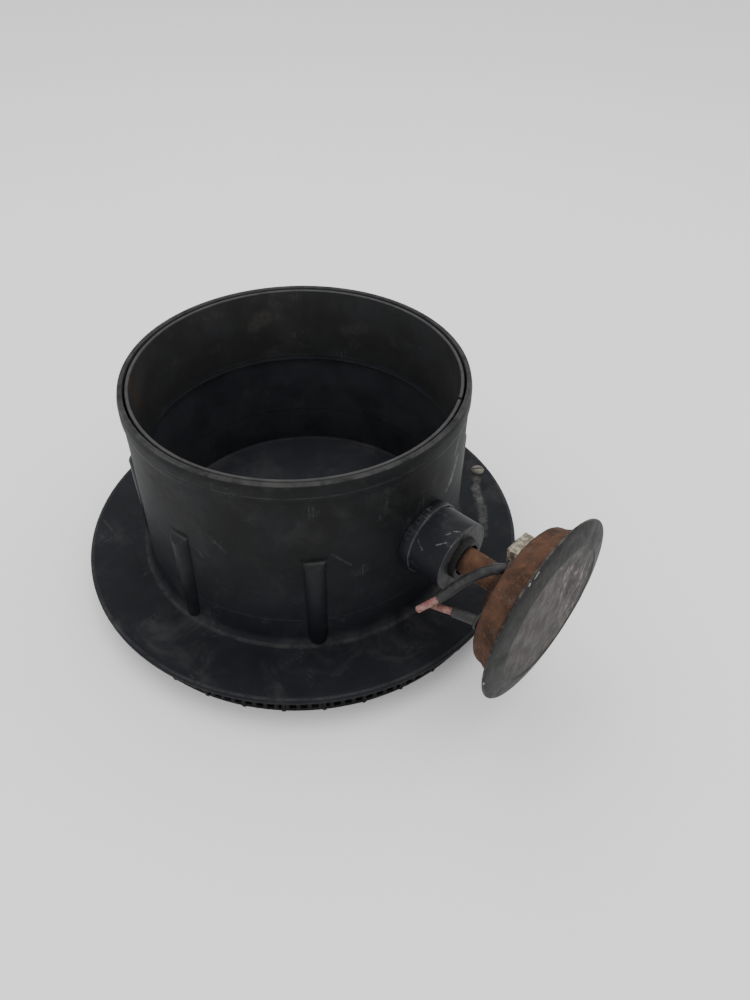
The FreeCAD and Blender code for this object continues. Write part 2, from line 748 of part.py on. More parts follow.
def export():
    """Write one STEP file per node."""
    os.makedirs("parts", exist_ok=True)
    for part in NODES:
        part.Shape.exportStep(f"parts/{part.Label}.step")
        box = part.Shape.BoundBox
        print(f"{part.Label:22s} solids {len(part.Shape.Solids)} volume {part.Shape.Volume:10.0f}"
              f"  x {box.XMin:7.1f} {box.XMax:7.1f}  y {box.YMin:7.1f} {box.YMax:7.1f}"
              f"  z {box.ZMin:6.1f} {box.ZMax:6.1f}")


fill_sheet()
drum_shell()
floor_plate()
foot_grid()
liner_seat()
liner_sleeve()
side_boss()
boss_saddle()
boss_bushing()
flange_plug()
spindle()
washer("KeeperWasher", "keeper_washer", "<keeper_washer_x>", "<keeper_washer_radius>",
       "<keeper_washer_thick>")
hex_nut("KeeperNut", "keeper_nut", "<keeper_nut_x>", "<keeper_nut_flats>", "<keeper_nut_thick>", 0.0)
hex_nut("ClampNut", "clamp_nut", "<clamp_nut_x>", "<clamp_nut_flats>", "<clamp_nut_thick>", CLAMP_NUT_TURN)
washer("ClampWasher", "clamp_washer", "<clamp_washer_x>", "<clamp_washer_radius>", "<clamp_washer_thick>")
pot_shell()
pot_lug()
pole_core()
coil_bobbin()
coil_winding()
sealant_seam()
face_disc()
lead("upper", UPPER_ROUTE, UPPER_SHEATH)
lead("lower", LOWER_ROUTE, LOWER_SHEATH)
DOC.recompute()
check_document()
export()
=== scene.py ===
"""Looks of an open moulded drum with a rusted pot magnet on a spindle through its side boss.

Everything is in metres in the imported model's frame: +Z up the drum's axis, +X along the side boss.
"""

import logging
import math
from dataclasses import dataclass, field
from enum import Enum
from typing import Iterable, Sequence

import bpy
from mathutils import Matrix, Vector


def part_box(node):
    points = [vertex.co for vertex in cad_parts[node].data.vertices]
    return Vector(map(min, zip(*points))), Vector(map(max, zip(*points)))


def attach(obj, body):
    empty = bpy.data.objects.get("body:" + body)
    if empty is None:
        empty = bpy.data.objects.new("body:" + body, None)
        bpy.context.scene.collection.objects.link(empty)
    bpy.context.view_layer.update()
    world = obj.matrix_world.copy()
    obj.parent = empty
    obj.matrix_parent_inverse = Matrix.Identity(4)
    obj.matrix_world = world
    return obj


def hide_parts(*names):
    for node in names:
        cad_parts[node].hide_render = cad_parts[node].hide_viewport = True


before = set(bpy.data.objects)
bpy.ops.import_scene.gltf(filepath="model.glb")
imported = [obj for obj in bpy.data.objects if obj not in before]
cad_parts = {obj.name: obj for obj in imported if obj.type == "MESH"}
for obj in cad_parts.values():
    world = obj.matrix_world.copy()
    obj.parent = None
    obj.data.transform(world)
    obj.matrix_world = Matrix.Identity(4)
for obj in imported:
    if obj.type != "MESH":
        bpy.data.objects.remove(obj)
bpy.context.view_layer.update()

LOG = logging.getLogger("drum")
MM = 0.001
ROUND = 2 * math.pi
MERGE = 2e-6
Point = tuple[float, float]
Place = tuple[float, float, float]
Colour = tuple[float, float, float]
Socket = bpy.types.NodeSocket
Thing = bpy.types.Object


class Axis(Enum):
    """Axis that a turned piece is turned about."""

    DRUM = (0.0, 0.0, 1.0)
    SPINDLE = (1.0, 0.0, 0.0)


class Body(Enum):
    """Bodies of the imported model."""

    ROOT = "root"
    LINER = "liner"
    SPINDLE = "spindle_body"
    KEEPER_WASHER = "keeper_washer_body"
    KEEPER_NUT = "keeper_nut_body"
    CLAMP_WASHER = "clamp_washer_body"
    CLAMP_NUT = "clamp_nut_body"
    POT = "pot_unit"


# ---------------------------------------------------------------- the frame's sizes


def low(node: str) -> Vector:
    """Lowest corner of a CAD node."""
    return Vector(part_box(node)[0])


def high(node: str) -> Vector:
    """Highest corner of a CAD node."""
    return Vector(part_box(node)[1])


BOSS_HEIGHT = (low("spindle").z + high("spindle").z) / 2
BOSS_END = high("side_boss").x


# ---------------------------------------------------------------- modelling helpers


def clear_selection() -> None:
    """Leave edit mode and deselect every object."""
    if bpy.context.mode != "OBJECT":
        bpy.ops.object.mode_set(mode="OBJECT")
    bpy.ops.object.select_all(action="DESELECT")


def take(thing: Thing) -> None:
    """Make one object the only selected and the active one."""
    clear_selection()
    thing.select_set(True)
    bpy.context.view_layer.objects.active = thing


def edit(thing: Thing, mode: str = "VERT") -> None:
    """Enter edit mode on one object with everything in it selected."""
    take(thing)
    bpy.ops.object.mode_set(mode="EDIT")
    bpy.ops.mesh.select_mode(type=mode)
    bpy.ops.mesh.select_all(action="SELECT")


def leave(thing: Thing) -> Thing:
    """Leave edit mode and return the object."""
    bpy.ops.object.mode_set(mode="OBJECT")
    return thing


def settle(thing: Thing) -> Thing:
    """Apply an object's place, turn and scale to its mesh."""
    take(thing)
    bpy.ops.object.transform_apply(location=True, rotation=True, scale=True)
    return thing


def arc_points(before: Point, corner: Point, after: Point, radius: float, parts: int) -> list[Point]:
    """Points of a tangent arc that rounds one corner of an outline.

    Args:
        before: the corner's neighbour on the incoming side.
        corner: the corner.
        after: its neighbour on the outgoing side.
        radius: radius of the round.
        parts: pieces that the arc is cut into.

    Returns:
        The arc's points, from the incoming side to the outgoing side.
    """
    here = Vector(corner)
    back = (Vector(before) - here).normalized()
    ahead = (Vector(after) - here).normalized()
    half = back.angle(ahead) / 2
    setback = radius / math.tan(half)
    centre = here + (back + ahead).normalized() * (radius / math.sin(half))
    start = here + back * setback - centre
    stop = here + ahead * setback - centre
    sweep = start.angle_signed(stop)
    points = []
    for index in range(parts + 1):
        turned = start.copy()
        turned.rotate(Matrix.Rotation(-sweep * index / parts, 2))
        points.append(tuple(centre + turned))
    return points


def rounded(outline: Sequence[Sequence[float]], closed: bool, parts: int = 5) -> list[Point]:
    """Outline with a tangent arc at each corner that states a radius as its third number.

    Args:
        outline: corners as (across, along) or (across, along, radius).
        closed: whether the last corner joins the first.
        parts: pieces of each arc.

    Returns:
        The points, with the first repeated at the end of a closed outline.
    """
    flat = [(corner[0], corner[1]) for corner in outline]
    points: list[Point] = []
    for index, corner in enumerate(outline):
        if len(corner) < 3:
            points.append(flat[index])
            continue
        following = flat[(index + 1) % len(flat)]
        points.extend(arc_points(flat[index - 1], flat[index], following, corner[2], parts))
    if closed:
        points.append(points[0])
    return points


def turned(name: str, points: Iterable[Point], axis: Axis, steps: int = 160) -> Thing:
    """Turn an outline round the drum's axis or the spindle's, starting from one drawn vertex.

    Args:
        name: name of the new object.
        points: (radius, station along the axis) in millimetres.
        axis: the axis to turn about.
        steps: steps of the full turn.

    Returns:
        The turned object, its seam and poles closed and its normals outward.
    """
    centre = (0.0, 0.0, 0.0 if axis is Axis.DRUM else BOSS_HEIGHT)
    places = []
    for radius, station in points:
        if axis is Axis.DRUM:
            places.append(Vector((radius, 0.0, station)) * MM)
        else:
            places.append(Vector((station * MM, 0.0, radius * MM + BOSS_HEIGHT)))
    clear_selection()
    bpy.ops.mesh.primitive_plane_add(size=0.001)
    thing = bpy.context.active_object
    thing.name = name
    edit(thing)
    bpy.ops.mesh.merge(type="CENTER")
    bpy.ops.transform.translate(value=places[0])
    for here, there in zip(places, places[1:]):
        bpy.ops.mesh.extrude_vertices_move(TRANSFORM_OT_translate={"value": there - here})
    bpy.ops.mesh.select_all(action="SELECT")
    bpy.ops.mesh.spin(steps=steps, angle=ROUND, center=centre, axis=axis.value)
    bpy.ops.mesh.select_all(action="SELECT")
    bpy.ops.mesh.remove_doubles(threshold=MERGE)
    bpy.ops.mesh.normals_make_consistent(inside=False)
    return leave(thing)


def rod_between(name: str, start: Vector, stop: Vector, radius: float, sides: int = 48) -> Thing:
    """Round bar between two places, used as a blank or a cutter."""
    clear_selection()
    along = stop - start
    turn = Vector((0, 0, 1)).rotation_difference(along).to_euler()
    bpy.ops.mesh.primitive_cylinder_add(
        vertices=sides, radius=radius, depth=along.length, location=(start + stop) / 2, rotation=turn)
    thing = bpy.context.active_object
    thing.name = name
    return settle(thing)


def block(name: str, centre: Vector, sizes: Vector, turn: float = 0.0) -> Thing:
    """Box turned about +Z through the origin, used as a cutter or a blank."""
    clear_selection()
    place = Matrix.Rotation(turn, 3, "Z") @ centre
    bpy.ops.mesh.primitive_cube_add(size=1.0, location=place, rotation=(0.0, 0.0, turn), scale=sizes)
    thing = bpy.context.active_object
    thing.name = name
    return settle(thing)


def combined(thing: Thing, tool: Thing, operation: str) -> Thing:
    """Apply a boolean with a second object and delete that object."""
    take(thing)
    modifier = thing.modifiers.new("cut", "BOOLEAN")
    modifier.operation = operation
    modifier.solver = "EXACT"
    modifier.object = tool
    bpy.ops.object.modifier_apply(modifier=modifier.name)
    bpy.data.objects.remove(tool, do_unlink=True)
    return thing


def softened(thing: Thing, width: float, parts: int = 2, angle: float = 32.0) -> Thing:
    """Round the sharp edges of a piece by a small bevel."""
    take(thing)
    modifier = thing.modifiers.new("edge", "BEVEL")
    modifier.width = width * MM
    modifier.segments = parts
    modifier.limit_method = "ANGLE"
    modifier.angle_limit = math.radians(angle)
    modifier.use_clamp_overlap = True
    bpy.ops.object.modifier_apply(modifier=modifier.name)
    return thing


def roughened(thing: Thing, grain: float, depth: float) -> Thing:
    """Move a piece's surface in and out by a cloud pattern.

    Args:
        thing: the piece.
        grain: size of the bumps in millimetres.
        depth: full height of the bumps in millimetres.

    Returns:
        The same piece.
    """
    texture = bpy.data.textures.new(thing.name + "_relief", "CLOUDS")
    texture.noise_scale = grain * MM
    texture.noise_depth = 3
    take(thing)
    modifier = thing.modifiers.new("relief", "DISPLACE")
    modifier.texture = texture
    modifier.texture_coords = "LOCAL"
    modifier.strength = depth * MM
    modifier.mid_level = 0.55
    bpy.ops.object.modifier_apply(modifier=modifier.name)
    return thing


def copied_from_cad(name: str, node: str, bevel: float) -> Thing:
    """Own copy of a CAD node's mesh, merged and with softened edges."""
    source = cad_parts[node]
    thing = bpy.data.objects.new(name, source.data.copy())
    bpy.context.scene.collection.objects.link(thing)
    thing.data.materials.clear()
    edit(thing)
    bpy.ops.mesh.remove_doubles(threshold=MERGE)
    bpy.ops.mesh.dissolve_limited(angle_limit=math.radians(0.5))
    leave(thing)
    return softened(thing, bevel)


def smooth(thing: Thing, angle: float = 35.0) -> Thing:
    """Shade smooth, keeping edges sharper than an angle."""
    take(thing)
    bpy.ops.object.shade_smooth_by_angle(angle=math.radians(angle))
    return thing


def deliver(thing: Thing, body: Body, finish: "Finish", nodes: Sequence[str] = ()) -> Thing:
    """Dress a finished piece, put it on its body and hide the CAD nodes that it replaces.

    Args:
        thing: the piece.
        body: the body it rides on.
        finish: what it is made of.
        nodes: CAD nodes that it replaces.

    Returns:
        The same piece.
    """
    thing.data.materials.clear()
    thing.data.materials.append(finish.material())
    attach(thing, body.value)
    if nodes:
        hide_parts(*nodes)
    LOG.info("%s rides on %s and is finished as %s", thing.name, body.value, finish.name)
    return thing


# ---------------------------------------------------------------- materials


class Graph:
    """A material's node tree, with short calls for the nodes that the finishes share."""

    def __init__(self, name: str) -> None:
        """Start a material with its shader and its output."""
        self.made = bpy.data.materials.new(name)
        self.made.use_nodes = True
        self.tree = self.made.node_tree
        self.tree.nodes.clear()
        out = self.tree.nodes.new("ShaderNodeOutputMaterial")
        self.shader = self.tree.nodes.new("ShaderNodeBsdfPrincipled")
        self.tree.links.new(self.shader.outputs[0], out.inputs[0])
        self.place = self.tree.nodes.new("ShaderNodeTexCoord").outputs["Object"]

    def feed(self, socket: Socket, value: object) -> None:
        """Link a socket, or set its value."""
        if isinstance(value, bpy.types.NodeSocket):
            self.tree.links.new(value, socket)
        elif isinstance(value, tuple) and len(value) == 3 and socket.type == "RGBA":
            socket.default_value = (*value, 1.0)
        else:
            socket.default_value = value

    def stretched(self, scale: Place, turn: Place = (0.0, 0.0, 0.0)) -> Socket:
        """Object coordinates, stretched and turned."""
        node = self.tree.nodes.new("ShaderNodeMapping")
        node.inputs["Scale"].default_value = scale
        node.inputs["Rotation"].default_value = turn
        self.tree.links.new(self.place, node.inputs["Vector"])
        return node.outputs[0]

    def noise(self, grain: float, detail: float = 6.0, rough: float = 0.6, where: Socket | None = None,
              bend: float = 0.0) -> Socket:
        """Cloud pattern whose largest lumps are about a grain size, in millimetres."""
        node = self.tree.nodes.new("ShaderNodeTexNoise")
        node.inputs["Scale"].default_value = 1.0 / (grain * MM)
        node.inputs["Detail"].default_value = detail
        node.inputs["Roughness"].default_value = rough
        node.inputs["Distortion"].default_value = bend
        self.tree.links.new(where or self.place, node.inputs["Vector"])
        return node.outputs["Fac"]

    def cells(self, grain: float) -> Socket:
        """Distance pattern of random cells of a size in millimetres."""
        node = self.tree.nodes.new("ShaderNodeTexVoronoi")
        node.inputs["Scale"].default_value = 1.0 / (grain * MM)
        self.tree.links.new(self.place, node.inputs["Vector"])
        return node.outputs["Distance"]

    def sums(self, operation: str, first: object, second: object = 0.0) -> Socket:
        """One arithmetic step."""
        node = self.tree.nodes.new("ShaderNodeMath")
        node.operation = operation
        self.feed(node.inputs[0], first)
        self.feed(node.inputs[1], second)
        return node.outputs[0]

    def step(self, value: Socket, start: float, stop: float, smoothed: bool = True) -> Socket:
        """Value brought to 0 at start and 1 at stop, clamped."""
        node = self.tree.nodes.new("ShaderNodeMapRange")
        node.interpolation_type = "SMOOTHSTEP" if smoothed else "LINEAR"
        self.tree.links.new(value, node.inputs["Value"])
        node.inputs["From Min"].default_value = start
        node.inputs["From Max"].default_value = stop
        return node.outputs[0]

    def blend(self, amount: object, first: object, second: object) -> Socket:
        """Mix of two colours."""
        node = self.tree.nodes.new("ShaderNodeMix")
        node.data_type = "RGBA"
        self.feed(node.inputs["Factor"], amount)
        self.feed(node.inputs[6], first)
        self.feed(node.inputs[7], second)
        return node.outputs[2]

    def axes(self) -> dict[str, Socket]:
        """Object coordinates as separate numbers."""
        node = self.tree.nodes.new("ShaderNodeSeparateXYZ")
        self.tree.links.new(self.place, node.inputs[0])
        return {"x": node.outputs[0], "y": node.outputs[1], "z": node.outputs[2]}

    def facing(self, axis: str) -> Socket:
        """Component of the surface's normal along an object axis."""
        geometry = self.tree.nodes.new("ShaderNodeNewGeometry")
        split = self.tree.nodes.new("ShaderNodeSeparateXYZ")
        self.tree.links.new(geometry.outputs["Normal"], split.inputs[0])
        return split.outputs["XYZ".index(axis)]

    def outwardness(self) -> Socket:
        """How far the surface faces away from the drum's axis, negative inside the drum."""
        geometry = self.tree.nodes.new("ShaderNodeNewGeometry")
        return self.vectors("DOT_PRODUCT", geometry.outputs["Normal"], self.place, 1)

    def vectors(self, operation: str, first: object, second: object, output: int = 0) -> Socket:
        """One vector step."""
        node = self.tree.nodes.new("ShaderNodeVectorMath")
        node.operation = operation
        self.feed(node.inputs[0], first)
        self.feed(node.inputs["Scale"] if operation == "SCALE" else node.inputs[1], second)
        return node.outputs[output]

    def streak(self, start: Place, stop: Place, width: float, wobble: float = 0.0) -> Socket:
        """Mask round a straight mark between two places, 1 on it and 0 past its width."""
        begin = Vector(start) * MM
        line = Vector(stop) * MM - begin
        from_start = self.vectors("SUBTRACT", self.place, tuple(begin))
        share = self.vectors("DOT_PRODUCT", from_start, tuple(line / line.length_squared), 1)
        held = self.sums("MINIMUM", self.sums("MAXIMUM", share, 0.0), 1.0)
        foot = self.vectors("SCALE", tuple(line), held)
        away = self.vectors("LENGTH", self.vectors("SUBTRACT", from_start, foot), (0.0, 0.0, 0.0), 1)
        if wobble:
            shift = self.sums("MULTIPLY", self.sums("SUBTRACT", self.noise(wobble * 3, 4.0), 0.5), wobble * 2 * MM)
            away = self.sums("ADD", away, shift)
        return self.step(away, width * MM, width * MM * 0.35)

    def bump(self, height: Socket, depth: float, under: Socket | None = None) -> Socket:
        """Bump normal for a height pattern of a depth in millimetres."""
        node = self.tree.nodes.new("ShaderNodeBump")
        node.inputs["Distance"].default_value = depth * MM
        node.inputs["Strength"].default_value = 1.0
        self.tree.links.new(height, node.inputs["Height"])
        if under:
            self.tree.links.new(under, node.inputs["Normal"])
        return node.outputs[0]

    def close(self, colour: object, rough: object, normal: Socket | None = None, metal: object = 0.0,
              specular: float = 0.5) -> bpy.types.Material:
        """Connect the shader and return the material."""
        self.feed(self.shader.inputs["Base Color"], colour)
        self.feed(self.shader.inputs["Roughness"], rough)
        self.feed(self.shader.inputs["Metallic"], metal)
        self.shader.inputs["Specular IOR Level"].default_value = specular
        if normal:
            self.tree.links.new(normal, self.shader.inputs["Normal"])
        return self.made


@dataclass(frozen=True)
class Mark:
    """A scuff, drip, stain or painted shadow between two places, in millimetres."""

    start: Place
    stop: Place
    width: float
    colour: Colour
    strength: float
    wobble: float = 0.0


@dataclass(frozen=True)
class Line:
    """A rubbed or dark line, or a painted highlight line, at one place along x or z, or at one radius, in
    millimetres.
    """

    along: str
    at: float
    width: float
    strength: float
    colour: Colour = (0.075, 0.073, 0.072)


@dataclass(frozen=True)
class Finish:
    """Base of every finish: a name, and one material made once."""

    name: str

    def material(self) -> bpy.types.Material:
        """The finish's material, made the first time it is asked for."""
        return bpy.data.materials.get(self.title) or self.build()

    @property
    def title(self) -> str:
        """Name of the finish's material."""
        return f"{self.name}_finish"

    def build(self) -> bpy.types.Material:
        """Make the material."""
        raise NotImplementedError


@dataclass(frozen=True)
class MouldedPlastic(Finish):
    """Satin black moulding with mottling, dust, fine scratches and scuffs, and painted shade and highlights."""

    base: Colour = (0.017, 0.018, 0.021)
    # Colour higher up the piece; the blend down to the base colour towards the foot is painted shade.
    unshaded_upper: Colour = (0.026, 0.025, 0.022)
    shade_fade_from: float = 30.0
    shade_fade_to: float = 125.0
    dust: Colour = (0.13, 0.125, 0.12)
    dust_amount: float = 0.25
    scratch_amount: float = 0.35
    rough: tuple[float, float] = (0.36, 0.56)
    # Paler colour for inward faces: painted light standing in for light inside the drum.
    inside: Colour | None = None
    specular: float = 0.14
    lines: tuple[Line, ...] = ()
    marks: tuple[Mark, ...] = ()

    def build(self) -> bpy.types.Material:
        """Layer a painted shade gradient towards the foot, painted light on inward faces, mottling, dust, scratches,
        worn lines, painted highlight lines and marks over the base colour.
        """
        graph = Graph(self.title)
        place = graph.axes()
        # Painted shade: the colour runs from the upper colour down to the darker base colour towards the foot.
        rise = graph.step(place["z"], self.shade_fade_from * MM, self.shade_fade_to * MM)
        colour = graph.blend(rise, self.base, self.unshaded_upper)
        # Painted light: inward faces take the paler inside colour.
        if self.inside:
            colour = graph.blend(graph.step(graph.outwardness(), 0.0, -0.004), colour, self.inside)
        mottle = graph.step(graph.noise(26.0, 5.0), 0.35, 0.7)
        lighter = tuple(part * 1.5 + 0.002 for part in self.base)
        colour = graph.blend(graph.sums("MULTIPLY", mottle, 0.55), colour, lighter)
        specks = graph.step(graph.noise(2.2, 8.0, 0.75), 0.6, 0.78)
        cloud = graph.step(graph.noise(34.0, 7.0, 0.68, bend=0.6), 0.48, 0.72)
        up = graph.step(graph.facing("Z"), -0.3, 0.9)
        settled = graph.sums("ADD", graph.sums("MULTIPLY", up, 0.6), 0.4)
        film = graph.sums("ADD", graph.sums("MULTIPLY", cloud, 0.55), graph.sums("MULTIPLY", specks, 0.5))
        film = graph.sums("MULTIPLY", graph.sums("MULTIPLY", film, settled), self.dust_amount)
        colour = graph.blend(film, colour, self.dust)
        scratches = self.scratches(graph)
        colour = graph.blend(graph.sums("MULTIPLY", scratches, self.scratch_amount), colour, (0.11, 0.11, 0.115))
        for line in self.lines:
            colour = graph.blend(self.worn_or_highlight_line(graph, line), colour, line.colour)
        for mark in self.marks:
            mask = graph.streak(mark.start, mark.stop, mark.width, mark.wobble)
            grain = graph.step(graph.noise(2.5, 8.0, 0.7), 0.3, 0.62)
            colour = graph.blend(graph.sums("MULTIPLY", graph.sums("MULTIPLY", mask, grain), mark.strength),
                                 colour, mark.colour)
        sheen = graph.noise(15.0, 6.0, 0.65)
        rough = graph.sums("ADD", graph.sums("MULTIPLY", sheen, self.rough[1] - self.rough[0]), self.rough[0])
        rough = graph.sums("ADD", rough, graph.sums("MULTIPLY", film, 0.5))
        normal = graph.bump(graph.noise(0.9, 5.0), 0.03)
        normal = graph.bump(graph.noise(22.0, 3.0), 0.35, normal)
        normal = graph.bump(graph.sums("SUBTRACT", 1.0, scratches), 0.04, normal)
        return graph.close(colour, rough, normal, specular=self.specular)

    def worn_or_highlight_line(self, graph: Graph, line: "Line") -> Socket:
        """Mask of a rubbed line or a painted highlight line at one radius, height or station."""
        place = graph.axes()
        if line.along == "r":
            flat = graph.sums("ADD", graph.sums("MULTIPLY", place["x"], place["x"]),
                              graph.sums("MULTIPLY", place["y"], place["y"]))
            value = graph.sums("SQRT", flat)
        else:
            value = place[line.along]
        away = graph.sums("ABSOLUTE", graph.sums("SUBTRACT", value, line.at * MM))
        near = graph.step(away, line.width * MM, line.width * 0.3 * MM)
        broken = graph.step(graph.noise(8.0, 7.0, 0.7), 0.3, 0.62)
        return graph.sums("MULTIPLY", graph.sums("MULTIPLY", near, broken), line.strength)

    def scratches(self, graph: Graph) -> Socket:
        """Thin scratches in three directions, broken up by a coarse pattern."""
        total: Socket | None = None
        for stretch, turn in (
            ((1.0, 1.0, 0.02), (0.5, 0.3, 0.0)),
            ((0.02, 1.0, 1.0), (0.0, 0.5, 0.6)),
            ((1.0, 0.02, 1.0), (0.7, 0.0, 1.1)),
        ):
            lines = graph.noise(1.7, 2.0, 0.5, graph.stretched(stretch, turn))
            thin = graph.step(graph.sums("ABSOLUTE", graph.sums("SUBTRACT", lines, 0.5)), 0.012, 0.0)
            total = thin if total is None else graph.sums("MAXIMUM", total, thin)
        broken = graph.step(graph.noise(18.0, 4.0, 0.6), 0.56, 0.7)
        return graph.sums("MULTIPLY", total, broken)


@dataclass(frozen=True)
class RustedSteel(Finish):
    """Brown rust over steel, in flakes and pits."""

    dark: Colour = (0.034, 0.019, 0.013)
    mid: Colour = (0.085, 0.043, 0.027)
    bright: Colour = (0.15, 0.072, 0.04)
    grey: Colour = (0.095, 0.08, 0.075)
    grey_amount: float = 0.25
    relief: float = 0.5

    def build(self) -> bpy.types.Material:
        """Layer dark pits, bright powder and bare grey over mid brown."""
        graph = Graph(self.title)
        broad = graph.step(graph.noise(16.0, 8.0, 0.65), 0.36, 0.66)
        colour = graph.blend(broad, self.dark, self.mid)
        powder = graph.step(graph.noise(4.5, 9.0, 0.72), 0.5, 0.72)
        colour = graph.blend(graph.sums("MULTIPLY", powder, 0.6), colour, self.bright)
        bare = graph.step(graph.noise(11.0, 8.0, 0.7, bend=0.5), 0.56, 0.7)
        colour = graph.blend(graph.sums("MULTIPLY", bare, self.grey_amount), colour, self.grey)
        pits = graph.step(graph.cells(1.8), 0.0, 0.35)
        colour = graph.blend(graph.sums("MULTIPLY", graph.sums("SUBTRACT", 1.0, pits), 0.5), colour, self.dark)
        normal = graph.bump(graph.noise(3.2, 9.0, 0.7), self.relief)
        normal = graph.bump(pits, self.relief * 0.3, normal)
        rough = graph.sums("SUBTRACT", 0.92, graph.sums("MULTIPLY", bare, 0.25))
        return graph.close(colour, rough, normal, 0.0, 0.2)


@dataclass(frozen=True)
class WornDisc(Finish):
    """Dark steel face: grey rim, paler pinkish middle, and a rust patch across the middle."""

    land: float = 38.5
    rim: Colour = (0.0085, 0.0083, 0.008)
    middle: Colour = (0.022, 0.0178, 0.016)
    rust: Colour = (0.009, 0.0048, 0.004)
    pale: Colour = (0.23, 0.2, 0.19)
    chips: tuple[Mark, ...] = ()

    def build(self) -> bpy.types.Material:
        """Layer the rim, the worn middle, the rust, the rubbed streaks and the chips by radius."""
        graph = Graph(self.title)
        place = graph.axes()
        rise = graph.sums("SUBTRACT", place["z"], BOSS_HEIGHT)
        square = graph.sums("ADD", graph.sums("MULTIPLY", place["y"], place["y"]), graph.sums("MULTIPLY", rise, rise))
        radius = graph.sums("SQRT", square)
        wander = graph.sums("MULTIPLY", graph.sums("SUBTRACT", graph.noise(20.0, 5.0), 0.5), 6.0 * MM)
        inside = graph.step(graph.sums("ADD", radius, wander), (self.land + 1.0) * MM, (self.land - 2.0) * MM)
        front = graph.step(graph.facing("X"), 0.6, 0.95)
        inside = graph.sums("MULTIPLY", inside, front)
        along = graph.stretched((1.0, 1.0, 0.38), (0.35, 0.0, 0.0))
        streaks = graph.noise(4.0, 9.0, 0.72, along)
        clouds = graph.step(graph.noise(12.0, 8.0, 0.68, bend=0.4), 0.34, 0.68)
        warm_rim = tuple(part * shift for part, shift in zip(self.rim, (2.0, 1.8, 1.7)))
        grey = graph.sums("MULTIPLY", clouds, graph.step(streaks, 0.4, 0.64))
        colour = graph.blend(grey, self.rim, warm_rim)
        colour = graph.blend(graph.sums("MULTIPLY", inside, 0.9), colour, self.middle)
        mottled = graph.sums("MULTIPLY", graph.step(streaks, 0.42, 0.68), inside)
        colour = graph.blend(graph.sums("MULTIPLY", mottled, 0.16), colour, self.pale)
        upper = graph.step(graph.sums("ADD", place["y"], graph.sums("MULTIPLY", rise, 0.55)), -4.0 * MM, 22.0 * MM)
        upper = graph.sums("MULTIPLY", graph.sums("ADD", graph.sums("MULTIPLY", upper, 0.9), 0.1), inside)
        rubbed = graph.step(graph.noise(3.4, 9.0, 0.78, along), 0.5, 0.64)
        colour = graph.blend(graph.sums("MULTIPLY", graph.sums("MULTIPLY", rubbed, upper), 0.85), colour, self.pale)
        rusty = graph.step(graph.noise(7.0, 9.0, 0.74, along), 0.49, 0.6)
        rusty = graph.sums("MULTIPLY", rusty, upper)
        colour = graph.blend(graph.sums("MULTIPLY", rusty, 0.9), colour, self.rust)
        ring = graph.step(graph.sums("ABSOLUTE", graph.sums("SUBTRACT", radius, (self.land + 0.8) * MM)),
                          1.5 * MM, 0.2 * MM)
        colour = graph.blend(graph.sums("MULTIPLY", graph.sums("MULTIPLY", ring, front), 0.5), colour,
                             (0.022, 0.02, 0.019))
        edge = graph.step(radius, 52.6 * MM, 53.6 * MM)
        edge = graph.sums("MULTIPLY", edge, graph.step(graph.noise(6.0, 7.0, 0.7), 0.4, 0.62))
        colour = graph.blend(graph.sums("MULTIPLY", edge, 0.5), colour, (0.16, 0.155, 0.15))
        for chip in self.chips:
            mask = graph.streak(chip.start, chip.stop, chip.width, chip.wobble)
            colour = graph.blend(graph.sums("MULTIPLY", mask, chip.strength), colour, chip.colour)
        rough = graph.sums("ADD", graph.sums("MULTIPLY", clouds, 0.18), 0.5)
        normal = graph.bump(graph.noise(1.4, 8.0, 0.7), 0.1)
        normal = graph.bump(streaks, 0.25, normal)
        normal = graph.bump(graph.sums("SUBTRACT", 1.0, rusty), 0.15, normal)
        return graph.close(colour, rough, normal, 0.0, 0.2)


@dataclass(frozen=True)
class CrustedZinc(Finish):
    """Zinc plate gone dull, with pale deposits and brown stains."""

    zinc: Colour = (0.13, 0.11, 0.08)
    deposit: Colour = (0.46, 0.41, 0.31)
    stain: Colour = (0.045, 0.027, 0.017)

    def build(self) -> bpy.types.Material:
        """Layer deposits and stains over the dull plate."""
        graph = Graph(self.title)
        crust = graph.step(graph.noise(3.0, 9.0, 0.7), 0.45, 0.62)
        stained = graph.step(graph.noise(7.0, 8.0, 0.7, bend=0.4), 0.5, 0.66)
        colour = graph.blend(graph.sums("MULTIPLY", crust, 0.75), self.zinc, self.deposit)
        colour = graph.blend(graph.sums("MULTIPLY", stained, 0.7), colour, self.stain)
        normal = graph.bump(graph.noise(2.0, 8.0, 0.7), 0.22)
        rough = graph.sums("ADD", graph.sums("MULTIPLY", crust, 0.35), 0.32)
        metal = graph.sums("MULTIPLY", graph.sums("SUBTRACT", 1.0, crust), 0.6)
        return graph.close(colour, rough, normal, metal)


@dataclass(frozen=True)
class Crust(Finish):
    """Speckled crusty sealant: brown, cream and dark grains."""

    def build(self) -> bpy.types.Material:
        """Layer cream and dark grains over brown."""
        graph = Graph(self.title)
        grains = graph.noise(1.3, 6.0, 0.75)
        colour = graph.blend(graph.step(grains, 0.4, 0.6), (0.05, 0.03, 0.022), (0.17, 0.1, 0.07))
        cream = graph.step(graph.noise(1.9, 7.0, 0.8), 0.55, 0.66)
        colour = graph.blend(graph.sums("MULTIPLY", cream, 0.8), colour, (0.42, 0.36, 0.28))
        return graph.close(colour, 0.88, graph.bump(grains, 0.7), 0.0, 0.3)


